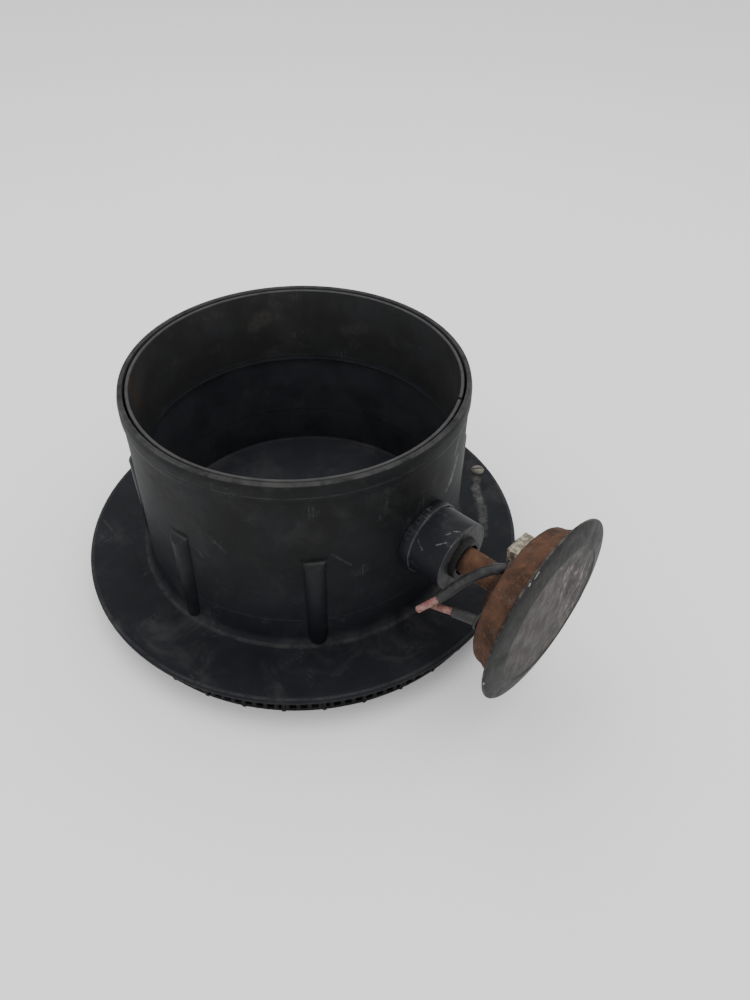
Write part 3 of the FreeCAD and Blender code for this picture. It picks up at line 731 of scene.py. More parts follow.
@dataclass(frozen=True)
class CableSheath(Finish):
    """Black cable sheath: soft sheen, wipe marks along it and grey dust."""

    base: Colour = (0.014, 0.014, 0.0147)

    def build(self) -> bpy.types.Material:
        """Layer dust and bends over black."""
        graph = Graph(self.title)
        dust = graph.step(graph.noise(3.5, 8.0, 0.7), 0.42, 0.7)
        colour = graph.blend(graph.sums("MULTIPLY", dust, 0.6), self.base, (0.056, 0.054, 0.052))
        rough = graph.sums("ADD", graph.sums("MULTIPLY", dust, 0.25), 0.45)
        return graph.close(colour, rough, graph.bump(graph.noise(0.8, 6.0), 0.06), specular=0.3)


@dataclass(frozen=True)
class FadedInsulation(Finish):
    """Faded red insulation with beige worn spots."""

    red: Colour = (0.15, 0.047, 0.045)
    beige: Colour = (0.23, 0.15, 0.12)

    def build(self) -> bpy.types.Material:
        """Layer beige wear and dark grime over red."""
        graph = Graph(self.title)
        wear = graph.step(graph.noise(2.6, 8.0, 0.65, bend=0.4), 0.42, 0.58)
        colour = graph.blend(graph.sums("MULTIPLY", wear, 0.8), self.red, self.beige)
        grime = graph.step(graph.noise(1.1, 8.0, 0.75), 0.56, 0.72)
        colour = graph.blend(graph.sums("MULTIPLY", grime, 0.6), colour, (0.07, 0.025, 0.02))
        return graph.close(colour, 0.55, graph.bump(graph.noise(0.9, 7.0), 0.1))


@dataclass(frozen=True)
class PlainSurface(Finish):
    """Small or inner piece in one material with mottled colour and a fine grain."""

    light: Colour = (0.5, 0.5, 0.5)
    dark: Colour = (0.3, 0.3, 0.3)
    grain: float = 4.0
    rough: float = 0.5
    metal: float = 0.0
    relief: float = 0.08

    def build(self) -> bpy.types.Material:
        """Mottle two colours and add a grain."""
        graph = Graph(self.title)
        mottle = graph.step(graph.noise(self.grain, 7.0, 0.65), 0.32, 0.68)
        colour = graph.blend(mottle, self.dark, self.light)
        rough = graph.sums("ADD", graph.sums("MULTIPLY", mottle, 0.15), self.rough - 0.07)
        return graph.close(colour, rough, graph.bump(graph.noise(self.grain * 0.3, 6.0), self.relief), self.metal)


@dataclass(frozen=True)
class Winding(Finish):
    """Enamelled wire laid in turns round the spindle's axis."""

    pitch: float = 0.8

    def build(self) -> bpy.types.Material:
        """Ridges along the axis in copper enamel."""
        graph = Graph(self.title)
        wave = graph.tree.nodes.new("ShaderNodeTexWave")
        wave.bands_direction = "X"
        wave.inputs["Scale"].default_value = 1.0 / (self.pitch * MM) / ROUND
        graph.tree.links.new(graph.place, wave.inputs["Vector"])
        colour = graph.blend(wave.outputs["Fac"], (0.12, 0.03, 0.015), (0.45, 0.17, 0.08))
        return graph.close(colour, 0.35, graph.bump(wave.outputs["Fac"], 0.2), 0.7)


STAIN = (0.16, 0.155, 0.145)
SCUFF = (0.19, 0.19, 0.195)

OUTSIDE = (0.0074, 0.0081, 0.0104)
# Paler inside colour of the drum moulding: painted light inside the drum.
PAINTED_INSIDE_LIGHT = (0.036, 0.038, 0.044)
# Near-black for the painted shadow above the rib tops.
RIB_TOP_SHADOW = (0.002, 0.002, 0.0022)

DRUM_FINISH = MouldedPlastic("drum_plastic", base=OUTSIDE, unshaded_upper=(0.0074, 0.0083, 0.0075), inside=PAINTED_INSIDE_LIGHT,
                             rough=(0.47, 0.66), specular=0.1, lines=(
    Line("z", 141.6, 0.7, 0.55),
    # Painted highlight: a lighter ring along the foot fillet, where light from above catches it.
    Line("r", 104.6, 1.7, 0.28),
    Line("r", 138.6, 1.0, 0.3),
    Line("z", 134.2, 0.5, 0.25),
    Line("z", 41.9, 0.5, 0.2),
), marks=(
    Mark((59.5, 111.7, 22.5), (65.3, 102.7, 22.5), 3.6, STAIN, 0.3, 2.4),
    Mark((65.3, 102.7, 22.5), (74.3, 95.9, 22.5), 4.6, STAIN, 0.32, 2.6),
    Mark((74.3, 95.9, 22.5), (87.8, 81.7, 22.5), 4.4, STAIN, 0.3, 2.8),
    Mark((87.8, 81.7, 22.5), (96.0, 70.0, 22.5), 3.8, STAIN, 0.22, 2.8),
    Mark((97.4, 19.2, 97.3), (96.4, 24.0, 101.0), 2.2, SCUFF, 0.4, 1.5),
    Mark((96.4, 24.0, 101.0), (94.3, 31.0, 112.0), 3.6, SCUFF, 0.4, 2.4),
    Mark((95.5, 27.0, 118.0), (93.0, 34.0, 131.0), 3.0, SCUFF, 0.3, 2.4),
    Mark((31.4, -94.4, 98.1), (38.8, -91.6, 89.7), 0.8, SCUFF, 0.15, 0.6),
    Mark((20.7, -97.3, 83.8), (23.7, -96.6, 79.4), 1.0, SCUFF, 0.12, 0.8),
    Mark((81.9, -56.5, 92.6), (87.2, -47.9, 81.9), 0.9, SCUFF, 0.13, 0.6),
    Mark((-97.8, -93.2, 22.5), (-85.9, -94.9, 22.5), 0.9, SCUFF, 0.12, 1.2),
    # Painted shadow: near-black arcs on the wall just above the tops of the ribs at 320 and 275 degrees.
    Mark((71.8, -68.8, 90.4), (80.1, -58.9, 90.4), 1.7, RIB_TOP_SHADOW, 0.9),
    Mark((2.0, -99.3, 90.4), (14.6, -98.3, 90.4), 1.7, RIB_TOP_SHADOW, 0.9),
))
RIB_FINISH = MouldedPlastic("rib_plastic", base=(0.0052, 0.0058, 0.0078), unshaded_upper=(0.008, 0.009, 0.0095),
                            dust_amount=0.2, scratch_amount=0.5, lines=(Line("z", 88.0, 0.7, 0.35),))
FLOOR_FINISH = MouldedPlastic("floor_plastic", base=(0.026, 0.027, 0.032), unshaded_upper=(0.026, 0.027, 0.032),
                              dust_amount=0.3, lines=(Line("r", 95.4, 1.1, 0.5),))
FOOT_FINISH = MouldedPlastic("foot_plastic", base=(0.003, 0.003, 0.0032), unshaded_upper=(0.004, 0.004, 0.004),
                             dust_amount=0.12)
LINER_FINISH = MouldedPlastic("liner_plastic", base=(0.023, 0.024, 0.027), unshaded_upper=(0.024, 0.024, 0.0235),
                              dust_amount=0.26, scratch_amount=0.5, lines=(
    Line("z", 140.9, 0.6, 0.4),
    Line("z", 92.4, 0.8, 0.75, (0.06, 0.06, 0.06)),
), marks=(
    Mark((-66.2, -65.1, 121.5), (-59.7, -71.0, 138.0), 9.0, (0.055, 0.035, 0.022), 0.6, 6.0),
    Mark((-84.4, 38.5, 118.0), (-80.6, 46.2, 124.0), 7.0, (0.065, 0.062, 0.055), 0.5, 6.0),
    Mark((-42.0, 82.7, 114.2), (-30.0, 88.0, 118.0), 5.0, (0.055, 0.053, 0.05), 0.4, 4.0),
    Mark((60.0, 70.8, 128.0), (70.0, 61.0, 110.0), 4.0, (0.06, 0.058, 0.055), 0.4, 3.0),
))
BOSS_FINISH = MouldedPlastic("boss_plastic", base=(0.0075, 0.0082, 0.0108), unshaded_upper=(0.0078, 0.0085, 0.0105),
                             dust_amount=0.3, scratch_amount=0.9, lines=(
    # Painted highlight: a light ring on the boss at its joint with the saddle pad.
    Line("x", 104.2, 0.5, 0.6, (0.1, 0.1, 0.105)),
    Line("x", 124.5, 0.45, 0.6, (0.1, 0.1, 0.105)),
), marks=(
    Mark((124.6, -11.4, 84.1), (124.6, -4.5, 83.9), 1.0, SCUFF, 0.5, 0.8),
    Mark((124.6, -11.3, 94.4), (124.6, -2.2, 96.6), 1.0, SCUFF, 0.6, 0.8),
    Mark((120.5, -4.0, 97.7), (123.0, -2.6, 97.9), 0.5, (0.2, 0.2, 0.21), 0.6, 0.8),
    Mark((118.0, -8.0, 96.4), (119.5, -6.0, 97.2), 0.5, (0.2, 0.2, 0.21), 0.5, 0.8),
    Mark((117.0, -14.0, 92.5), (121.0, -11.0, 94.9), 0.5, (0.2, 0.2, 0.21), 0.6, 0.5),
    Mark((106.0, -16.0, 90.3), (111.0, -18.0, 87.3), 0.5, (0.15, 0.15, 0.16), 0.5, 0.5),
))
BUSHING_FINISH = MouldedPlastic("bushing_plastic", base=(0.0085, 0.009, 0.0085), unshaded_upper=(0.0095, 0.0097, 0.0088),
                                dust_amount=0.4)
ROD_FINISH = RustedSteel("rusted_rod", mid=(0.1, 0.05, 0.03), bright=(0.17, 0.088, 0.05), grey_amount=0.12)
NUT_RUST_FINISH = RustedSteel("rusted_steel")
CLAMP_FINISH = RustedSteel("rusted_clamp", mid=(0.05, 0.03, 0.021), bright=(0.09, 0.055, 0.036))
POT_FINISH = RustedSteel("rusted_pot", grey_amount=0.3, relief=0.4)
ZINC_FINISH = CrustedZinc("zinc_steel")
DISC_FINISH = WornDisc("dark_steel", chips=(
    Mark((179.3, -24.6, 124.0), (179.3, -21.5, 125.6), 0.6, (0.3, 0.3, 0.29), 0.6, 0.8),
    Mark((179.0, -28.5, 122.0), (179.0, -27.6, 122.8), 0.5, (0.4, 0.4, 0.38), 0.6, 0.5),
    Mark((178.8, -52.4, 70.0), (178.8, -52.6, 71.4), 0.5, (0.35, 0.35, 0.33), 0.7, 0.3),
))
SEAM_FINISH = Crust("sealant")
SHEATH_FINISH = CableSheath("lead_black")
GROMMET_FINISH = CableSheath("lead_rubber", base=(0.014, 0.014, 0.014))
INSULATION_FINISH = FadedInsulation("lead_pink")
COPPER_FINISH = PlainSurface("copper_ends", light=(0.3, 0.08, 0.05), dark=(0.1, 0.02, 0.015), grain=0.8, rough=0.45,
                             metal=0.5)
PLUG_FINISH = PlainSurface("plug_cream", light=(0.17, 0.16, 0.13), dark=(0.06, 0.052, 0.04), grain=3.5, rough=0.6)
BOBBIN_FINISH = PlainSurface("bobbin_plastic", light=(0.55, 0.52, 0.42), dark=(0.45, 0.42, 0.33))
CORE_FINISH = PlainSurface("pole_steel", light=(0.2, 0.19, 0.18), dark=(0.1, 0.07, 0.06), metal=0.6)
WINDING_FINISH = Winding("copper_wire")
FLOOR_STAGE_FINISH = PlainSurface("pale_floor", light=(0.92, 0.92, 0.92), dark=(0.91, 0.91, 0.91), grain=300.0,
                                  rough=0.9, relief=0.01)


# ---------------------------------------------------------------- the drum


@dataclass
class Drum:
    """Wall, flange, ribs, floor and foot of the drum; sizes in millimetres."""

    rim_height: float = high("drum_shell").z / MM
    flange_radius: float = high("drum_shell").y / MM
    flange_top: float = 22.5
    flange_under: float = 18.0
    wall_bottom: float = low("drum_shell").z / MM
    wall_foot: float = 100.6
    wall_neck: float = 98.8
    neck_height: float = 113.0
    wall_thick: float = 2.3
    band: float = 99.6
    rim: float = 98.3
    boss_bore: float = 12.0
    plug_azimuth: float = 65.5
    plug_reach: float = 131.5
    rib_round: float = 6.1
    rib_root: float = 98.9
    rib_centre: float = 97.9
    rib_slope: float = 0.6
    rib_top: float = 88.5
    first_rib: float = 50.0
    rib_pitch: float = 45.0
    rib_count: int = 7
    tooth_count: int = 132
    foot_radius: float = high("foot_grid").y / MM

    def build(self) -> None:
        """Build every piece of the drum."""
        self.shell()
        self.ribs()
        self.floor()
        self.foot()
        self.plug()
        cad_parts["liner_seat"].data.materials.clear()
        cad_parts["liner_seat"].data.materials.append(DRUM_FINISH.material())

    def shell_outline(self) -> list[Point]:
        """Section of the wall, its rim band, its foot fillet and the flange with its edge line."""
        top = self.flange_top
        edge = self.flange_radius
        thick = self.wall_thick
        return rounded([
            (self.wall_foot - thick, self.wall_bottom, 0.4),
            (self.wall_foot, self.wall_bottom, 0.4),
            (self.wall_foot, self.flange_under, 1.2),
            (edge - 2.6, self.flange_under, 0.6),
            (edge, self.flange_under + 1.1, 1.2),
            (edge, top - 0.4, 1.5),
            (edge - 2.3, top, 0.3),
            (edge - 2.6, top - 0.22, 0.12),
            (edge - 3.1, top - 0.22, 0.12),
            (edge - 3.4, top, 0.12),
            (self.wall_foot + 9.0, top + 0.1, 8.0),
            (self.wall_foot + 0.4, top + 0.5, 5.2),
            (self.wall_neck + 0.9, 62.0, 60.0),
            (self.wall_neck, self.neck_height, 60.0),
            (self.wall_neck, 129.2, 2.2),
            (self.band, 132.4, 2.2),
            (self.band - 0.15, 138.4, 6.0),
            (self.rim + 0.25, self.rim_height, 0.9),
            (self.rim - thick, self.rim_height, 0.5),
            (self.wall_neck - thick, self.neck_height, 60.0),
            (98.05 - 0.25, 42.4, 0.2),
            (98.05, 42.0, 0.2),
        ], closed=True)

    def shell(self) -> None:
        """Turn the wall and flange, then cut the boss bore and the flange hole."""
        shell = turned("drum_moulding", self.shell_outline(), Axis.DRUM, 192)
        bore = rod_between("bore_tool", Vector((0.07, 0, BOSS_HEIGHT)), Vector((BOSS_END, 0, BOSS_HEIGHT)),
                           self.boss_bore * MM)
        combined(shell, bore, "DIFFERENCE")
        hole = self.plug_place()
        drill = rod_between("hole_tool", hole + Vector((0, 0, 0.01)), hole + Vector((0, 0, 0.03)), 4.2 * MM)
        combined(shell, drill, "DIFFERENCE")
        deliver(smooth(shell), Body.ROOT, DRUM_FINISH, ["drum_shell"])

    def plug_place(self) -> Vector:
        """Place of the flange hole, at ground height."""
        turn = math.radians(self.plug_azimuth)
        return Vector((math.cos(turn), math.sin(turn), 0.0)) * self.plug_reach * MM

    def ribs(self) -> None:
        """Half-round upright ribs, each with a sloping cut top."""
        for index in range(self.rib_count):
            turn = math.radians(self.first_rib + index * self.rib_pitch)
            deliver(self.rib(f"wall_rib_{index + 1}", turn), Body.ROOT, RIB_FINISH)

    def rib(self, name: str, turn: float) -> Thing:
        """One rib: a round bar flattened against the wall, cut to a slope at its top."""
        base = Vector((self.rib_centre, 0, self.flange_top - 2.0)) * MM
        top = Vector((self.rib_centre, 0, self.rib_top)) * MM
        rib = rod_between(name, base, top, self.rib_round * MM, 48)
        edit(rib)
        bpy.ops.mesh.bisect(plane_co=(self.rib_root * MM, 0, 0), plane_no=(1, 0, 0), use_fill=True, clear_inner=True)
        bpy.ops.mesh.select_all(action="SELECT")
        bpy.ops.mesh.bisect(plane_co=(self.rib_root * MM, 0, self.rib_top * MM), plane_no=(self.rib_slope, 0, 1),
                            use_fill=True, clear_outer=True)
        bpy.ops.mesh.select_all(action="SELECT")
        bpy.ops.transform.rotate(value=turn, orient_axis="Z", center_override=(0, 0, 0))
        leave(rib)
        self.face_azimuth(rib, turn)
        return smooth(softened(rib, 0.5, 3, 40.0))

    def face_azimuth(self, rib: Thing, turn: float) -> None:
        """Turn the rib the other way if the rotation went the wrong way round."""
        middle = sum((vertex.co for vertex in rib.data.vertices), Vector()) / len(rib.data.vertices)
        error = turn - math.atan2(middle.y, middle.x)
        rib.data.transform(Matrix.Rotation(error, 4, "Z"))

    def floor(self) -> None:
        """Floor plate with a gate mark in its middle and a soft outer edge."""
        top = high("floor_plate").z / MM
        under = low("floor_plate").z / MM
        edge = high("floor_plate").x / MM
        outline = rounded([
            (0.0, top - 0.5), (3.2, top - 0.5, 0.2), (3.6, top, 0.2), (60.0, top + 0.12), (edge - 0.2, top, 0.3),
            (edge - 0.2, under, 0.3), (0.0, under),
        ], closed=False)
        floor = turned("drum_floor", outline, Axis.DRUM, 160)
        deliver(smooth(floor), Body.ROOT, FLOOR_FINISH, ["floor_plate"])

    def foot(self) -> None:
        """Ribbed skirt round the foot ring, its bead, and the moulded grid under the flange."""
        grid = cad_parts["foot_grid"]
        grid.data.materials.clear()
        grid.data.materials.append(FOOT_FINISH.material())
        reach = self.foot_radius
        tooth = block("foot_teeth", Vector((reach - 1.3, 0, 9.2)) * MM, Vector((2.4, 2.6, 17.0)) * MM)
        softened(tooth, 0.5, 1)
        edit(tooth)
        bpy.ops.mesh.spin(steps=self.tooth_count, dupli=True, angle=ROUND, center=(0, 0, 0), axis=(0, 0, 1))
        bpy.ops.mesh.select_all(action="SELECT")
        bpy.ops.mesh.remove_doubles(threshold=MERGE)
        leave(tooth)
        deliver(tooth, Body.ROOT, FOOT_FINISH)
        bead = turned("foot_bead", rounded([
            (reach - 3.3, 0.1, 0.3), (reach - 0.3, 0.1, 0.7), (reach - 0.3, 2.6, 0.7), (reach - 2.35, 2.6, 0.3),
            (reach - 2.35, 17.3, 0.2), (reach - 3.3, 17.3, 0.2),
        ], closed=True), Axis.DRUM, 160)
        deliver(smooth(bead), Body.ROOT, FOOT_FINISH)

    def plug(self) -> None:
        """Pale slotted plug in the flange hole."""
        top = self.flange_top
        outline = rounded([
            (0.0, top + 2.2), (3.4, top + 1.9, 2.0), (4.7, top + 0.7, 0.8), (4.7, top + 0.02, 0.1),
            (4.0, top + 0.02, 0.1), (4.0, top - 4.3, 0.5), (0.0, top - 4.3),
        ], closed=False)
        plug = turned("flange_plug_slotted", outline, Axis.DRUM, 48)
        slot = block("slot_tool", Vector((0, 0, top + 2.0)) * MM, Vector((12.0, 1.1, 2.2)) * MM)
        combined(plug, slot, "DIFFERENCE")
        plug.data.transform(Matrix.Translation(self.plug_place()) @ Matrix.Rotation(0.9, 4, "Z"))
        deliver(smooth(plug), Body.ROOT, PLUG_FINISH, ["flange_plug"])


@dataclass
class Liner:
    """Thin split sleeve inside the rim."""

    outer: float = high("liner_sleeve").y / MM
    bottom: float = low("liner_sleeve").z / MM
    top: float = high("liner_sleeve").z / MM
    thick: float = 2.0
    slit: float = 2.4
    slit_azimuth: float = 26.5

    def build(self) -> None:
        """Turn the sleeve with soft edges and cut its slit."""
        inner = self.outer - self.thick
        outline = rounded([
            (inner, self.bottom, 0.5), (self.outer, self.bottom, 0.3), (self.outer, self.top, 0.7),
            (inner, self.top, 0.7),
        ], closed=True)
        sleeve = turned("liner_split_sleeve", outline, Axis.DRUM, 192)
        middle = Vector((self.outer - 1.0, 0, (self.bottom + self.top) / 2)) * MM
        gap = block("slit_tool", middle, Vector((8.0, self.slit, 60.0)) * MM, math.radians(self.slit_azimuth))
        combined(sleeve, gap, "DIFFERENCE")
        deliver(smooth(sleeve), Body.LINER, LINER_FINISH, ["liner_sleeve"])


@dataclass
class SideBoss:
    """Thick boss on the wall, its saddle pad and its scuffed open end."""

    outer: float = 20.4
    bore: float = 12.0
    root: float = 94.0
    wall: float = 98.4
    bushing_bore: float = 9.0

    def build(self) -> None:
        """Turn the boss, fit it to the wall, and soften the saddle pad."""
        end = BOSS_END / MM
        outline = rounded([
            (self.outer, self.root), (self.outer + 0.02, end - 4.0), (self.outer + 0.1, end + 0.2, 0.5),
            (self.outer - 1.3, end - 0.1, 0.6), (self.bore, end - 0.1, 0.4), (self.bore, self.root),
        ], closed=True)
        boss = turned("boss_moulding", outline, Axis.SPINDLE, 96)
        core = rod_between("wall_tool", Vector((0, 0, 0.02)), Vector((0, 0, 0.13)), self.wall * MM, 192)
        combined(boss, core, "DIFFERENCE")
        deliver(smooth(boss), Body.ROOT, BOSS_FINISH, ["side_boss"])
        saddle = copied_from_cad("boss_saddle_pad", "boss_saddle", 0.6)
        deliver(smooth(saddle), Body.ROOT, BOSS_FINISH, ["boss_saddle"])
        self.bushing()

    def bushing(self) -> None:
        """Bushing that stands a little out of the boss, with a worn mouth."""
        start = low("boss_bushing").x / MM
        stop = high("boss_bushing").x / MM
        outline = rounded([
            (self.bore - 0.03, start), (self.bore - 0.03, stop, 0.5), (self.bushing_bore, stop - 0.1, 0.6),
            (self.bushing_bore, start),
        ], closed=True)
        ring = turned("boss_bushing_ring", outline, Axis.SPINDLE, 96)
        deliver(smooth(ring), Body.ROOT, BUSHING_FINISH, ["boss_bushing"])


# ---------------------------------------------------------------- the spindle and its nuts


@dataclass
class SpindleSet:
    """Rod, nuts and washers along the boss axis; sizes in millimetres."""

    rod: float = 8.0
    root: float = 7.2
    pitch: float = 2.0
    inner_thread_end: float = 97.0
    outer_thread_start: float = 150.0

    def build(self) -> None:
        """Build the rod, both nuts and both washers."""
        self.spindle()
        self.nut("keeper_nut_hex", "keeper_nut", 24.0, Body.KEEPER_NUT, NUT_RUST_FINISH)
        self.nut("clamp_nut_hex", "clamp_nut", 36.0, Body.CLAMP_NUT, CLAMP_FINISH)
        self.washer("keeper_washer_ring", "keeper_washer", Body.KEEPER_WASHER, NUT_RUST_FINISH)
        self.washer("clamp_washer_ring", "clamp_washer", Body.CLAMP_WASHER, CLAMP_FINISH)

    def thread(self, start: float, stop: float) -> list[Point]:
        """Crests and roots of a thread between two stations."""
        points: list[Point] = []
        for index in range(int((stop - start) / self.pitch)):
            station = start + index * self.pitch
            points += [
                (self.root, station + 0.15), (self.rod, station + 0.85),
                (self.rod, station + 1.15), (self.root, station + 1.85),
            ]
        return points

    def spindle(self) -> None:
        """Rusted rod, threaded inside the drum and behind the pot."""
        start = low("spindle").x / MM
        stop = high("spindle").x / MM
        outline: list[Point] = [(0.0, start), (self.root - 0.5, start)]
        outline += self.thread(start + 0.6, self.inner_thread_end)
        steps = 14
        for index in range(steps + 1):
            share = index / steps
            station = self.inner_thread_end + 0.5 + share * (self.outer_thread_start - self.inner_thread_end - 1.0)
            outline.append((self.rod - 0.12, station))
        outline += self.thread(self.outer_thread_start, stop - 0.6)
        outline += [(self.root - 0.5, stop), (0.0, stop)]
        rod = turned("spindle_rod", outline, Axis.SPINDLE, 64)
        roughened(rod, 3.5, 0.35)
        deliver(smooth(rod, 50.0), Body.SPINDLE, ROD_FINISH, ["spindle"])

    def nut(self, name: str, node: str, flats: float, body: Body, finish: Finish) -> None:
        """Hexagon nut with chamfered corners and a countersunk bore.

        Args:
            name: name of the piece.
            node: CAD node that it stands for.
            flats: size across its flats.
            body: the body it rides on.
            finish: what it is made of.
        """
        start = low(node).x / MM
        stop = high(node).x / MM
        corner = flats / 2 / math.cos(math.pi / 6)
        blank = rod_between(name, Vector((start * MM, 0, BOSS_HEIGHT)), Vector((stop * MM, 0, BOSS_HEIGHT)),
                            corner * MM, 6)
        self.match_corners(blank, node)
        drop = (corner - flats / 2) * 0.6
        chamfer = turned("chamfer_tool", [
            (0.0, start), (flats / 2 * 0.98, start), (corner + 0.3, start + drop), (corner + 0.3, stop - drop),
            (flats / 2 * 0.98, stop), (0.0, stop),
        ], Axis.SPINDLE, 96)
        combined(blank, chamfer, "INTERSECT")
        hole = turned("thread_tool", [
            (0.0, start - 1.0), (self.rod + 1.5, start - 1.0), (self.rod + 0.05, start + 0.8),
            (self.rod + 0.05, stop - 0.8), (self.rod + 1.5, stop + 1.0), (0.0, stop + 1.0),
        ], Axis.SPINDLE, 48)
        combined(blank, hole, "DIFFERENCE")
        softened(blank, 0.35, 2, 25.0)
        deliver(smooth(blank), body, finish, [node])

    def match_corners(self, blank: Thing, node: str) -> None:
        """Turn a hexagon about the spindle so that its corners meet the CAD nut's."""
        centre = Vector((0, 0, BOSS_HEIGHT))
        target = max(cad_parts[node].data.vertices, key=lambda v: (v.co - centre).yz.length).co - centre
        corner = max(blank.data.vertices, key=lambda v: (v.co - centre).yz.length).co - centre
        turn = math.atan2(target.z, target.y) - math.atan2(corner.z, corner.y)
        rotate = Matrix.Rotation(turn, 4, "X")
        blank.data.transform(Matrix.Translation(centre) @ rotate @ Matrix.Translation(-centre))

    def washer(self, name: str, node: str, body: Body, finish: Finish) -> None:
        """Flat washer with rounded edges."""
        start = low(node).x / MM
        stop = high(node).x / MM
        outer = (high(node).y - low(node).y) / 2 / MM
        outline = rounded([
            (self.rod + 0.5, start, 0.2), (outer, start, 0.5), (outer, stop, 0.4), (self.rod + 0.5, stop, 0.2),
        ], closed=True)
        deliver(smooth(turned(name, outline, Axis.SPINDLE, 96)), body, finish, [node])


# ---------------------------------------------------------------- the pot and its leads


@dataclass
class Pot:
    """Rusted pot, its crusty seam, the face disc and what the pot holds; sizes in millimetres."""

    back: float = low("pot_shell").x / MM
    mouth: float = high("pot_shell").x / MM
    back_radius: float = 40.3
    mouth_radius: float = 44.8
    wall: float = 4.0
    bore: float = 8.1
    seam_radius: float = 44.9
    disc_back: float = low("face_disc").x / MM
    disc_front: float = high("face_disc").x / MM
    disc_radius: float = high("face_disc").y / MM
    land: float = 38.5
    rim_thick: float = 1.8

    def build(self) -> None:
        """Build the pot, the seam and the disc, and dress the inner nodes."""
        self.shell()
        self.lug()
        self.seam()
        self.disc()
        for node, finish in (("pole_core", CORE_FINISH), ("coil_bobbin", BOBBIN_FINISH),
                             ("coil_winding", WINDING_FINISH)):
            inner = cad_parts[node]
            inner.data.materials.clear()
            inner.data.materials.append(finish.material())

    def shell(self) -> None:
        """Flared pot with a rounded back, pitted all over."""
        side = [(self.back_radius + (self.mouth_radius - self.back_radius) * share / 6,
                 self.back + 4.0 + (self.mouth - self.back - 5.0) * share / 6) for share in range(1, 7)]
        outline = rounded([
            (self.bore, self.back, 0.3), (22.0, self.back), (31.0, self.back),
            (self.back_radius, self.back, 4.4), *side, (self.mouth_radius, self.mouth, 0.4),
            (self.mouth_radius - self.wall, self.mouth, 0.4), (self.back_radius - self.wall, self.back + self.wall, 1.5),
            (self.bore, self.back + self.wall, 0.3),
        ], closed=True)
        pot = turned("pot_cup", outline, Axis.SPINDLE, 160)
        roughened(pot, 6.0, 0.5)
        deliver(smooth(pot, 60.0), Body.POT, POT_FINISH, ["pot_shell"])

    def lug(self) -> None:
        """Crusted lug on the pot's back."""
        lug = copied_from_cad("pot_lug_crusted", "pot_lug", 1.2)
        edit(lug)
        bpy.ops.mesh.quads_convert_to_tris()
        bpy.ops.mesh.subdivide(number_cuts=3)
        leave(lug)
        roughened(lug, 3.0, 1.0)
        deliver(smooth(lug, 70.0), Body.POT, ZINC_FINISH, ["pot_lug"])

    def seam(self) -> None:
        """Uneven crust squeezed out between the pot and the disc."""
        middle = (self.mouth + self.disc_back) / 2
        ring = [(self.mouth_radius + 0.1 + 1.3 * math.cos(turn), middle + 1.25 * math.sin(turn))
                for turn in (ROUND * index / 14 for index in range(15))]
        seam = turned("seam_crust", ring, Axis.SPINDLE, 300)
        roughened(seam, 2.0, 1.5)
        deliver(smooth(seam, 70.0), Body.POT, SEAM_FINISH, ["sealant_seam"])

    def disc(self) -> None:
        """Face disc: slightly dished middle, a shallow ridge, and a rim that falls back."""
        front = self.disc_front
        edge = self.disc_radius
        middle = [(self.land * share / 8, front - 0.3 * math.cos(math.pi / 2 * share / 8) - 0.35)
                  for share in range(9)]
        outline = middle + rounded([
            (self.land, front - 0.35), (self.land + 0.7, front - 0.35, 0.2), (self.land + 1.6, front + 0.05, 0.5),
            (edge - 4.0, self.disc_back + self.rim_thick + 0.75, 5.0), (edge, self.disc_back + 1.3, 1.0),
            (edge - 0.9, self.disc_back, 0.7), (self.mouth_radius - 6.0, self.disc_back),
        ], closed=False)[1:] + [(0.0, self.disc_back)]
        disc = turned("face_disc_worn", outline, Axis.SPINDLE, 192)
        roughened(disc, 9.0, 0.22)
        deliver(smooth(disc, 50.0), Body.POT, DISC_FINISH, ["face_disc"])


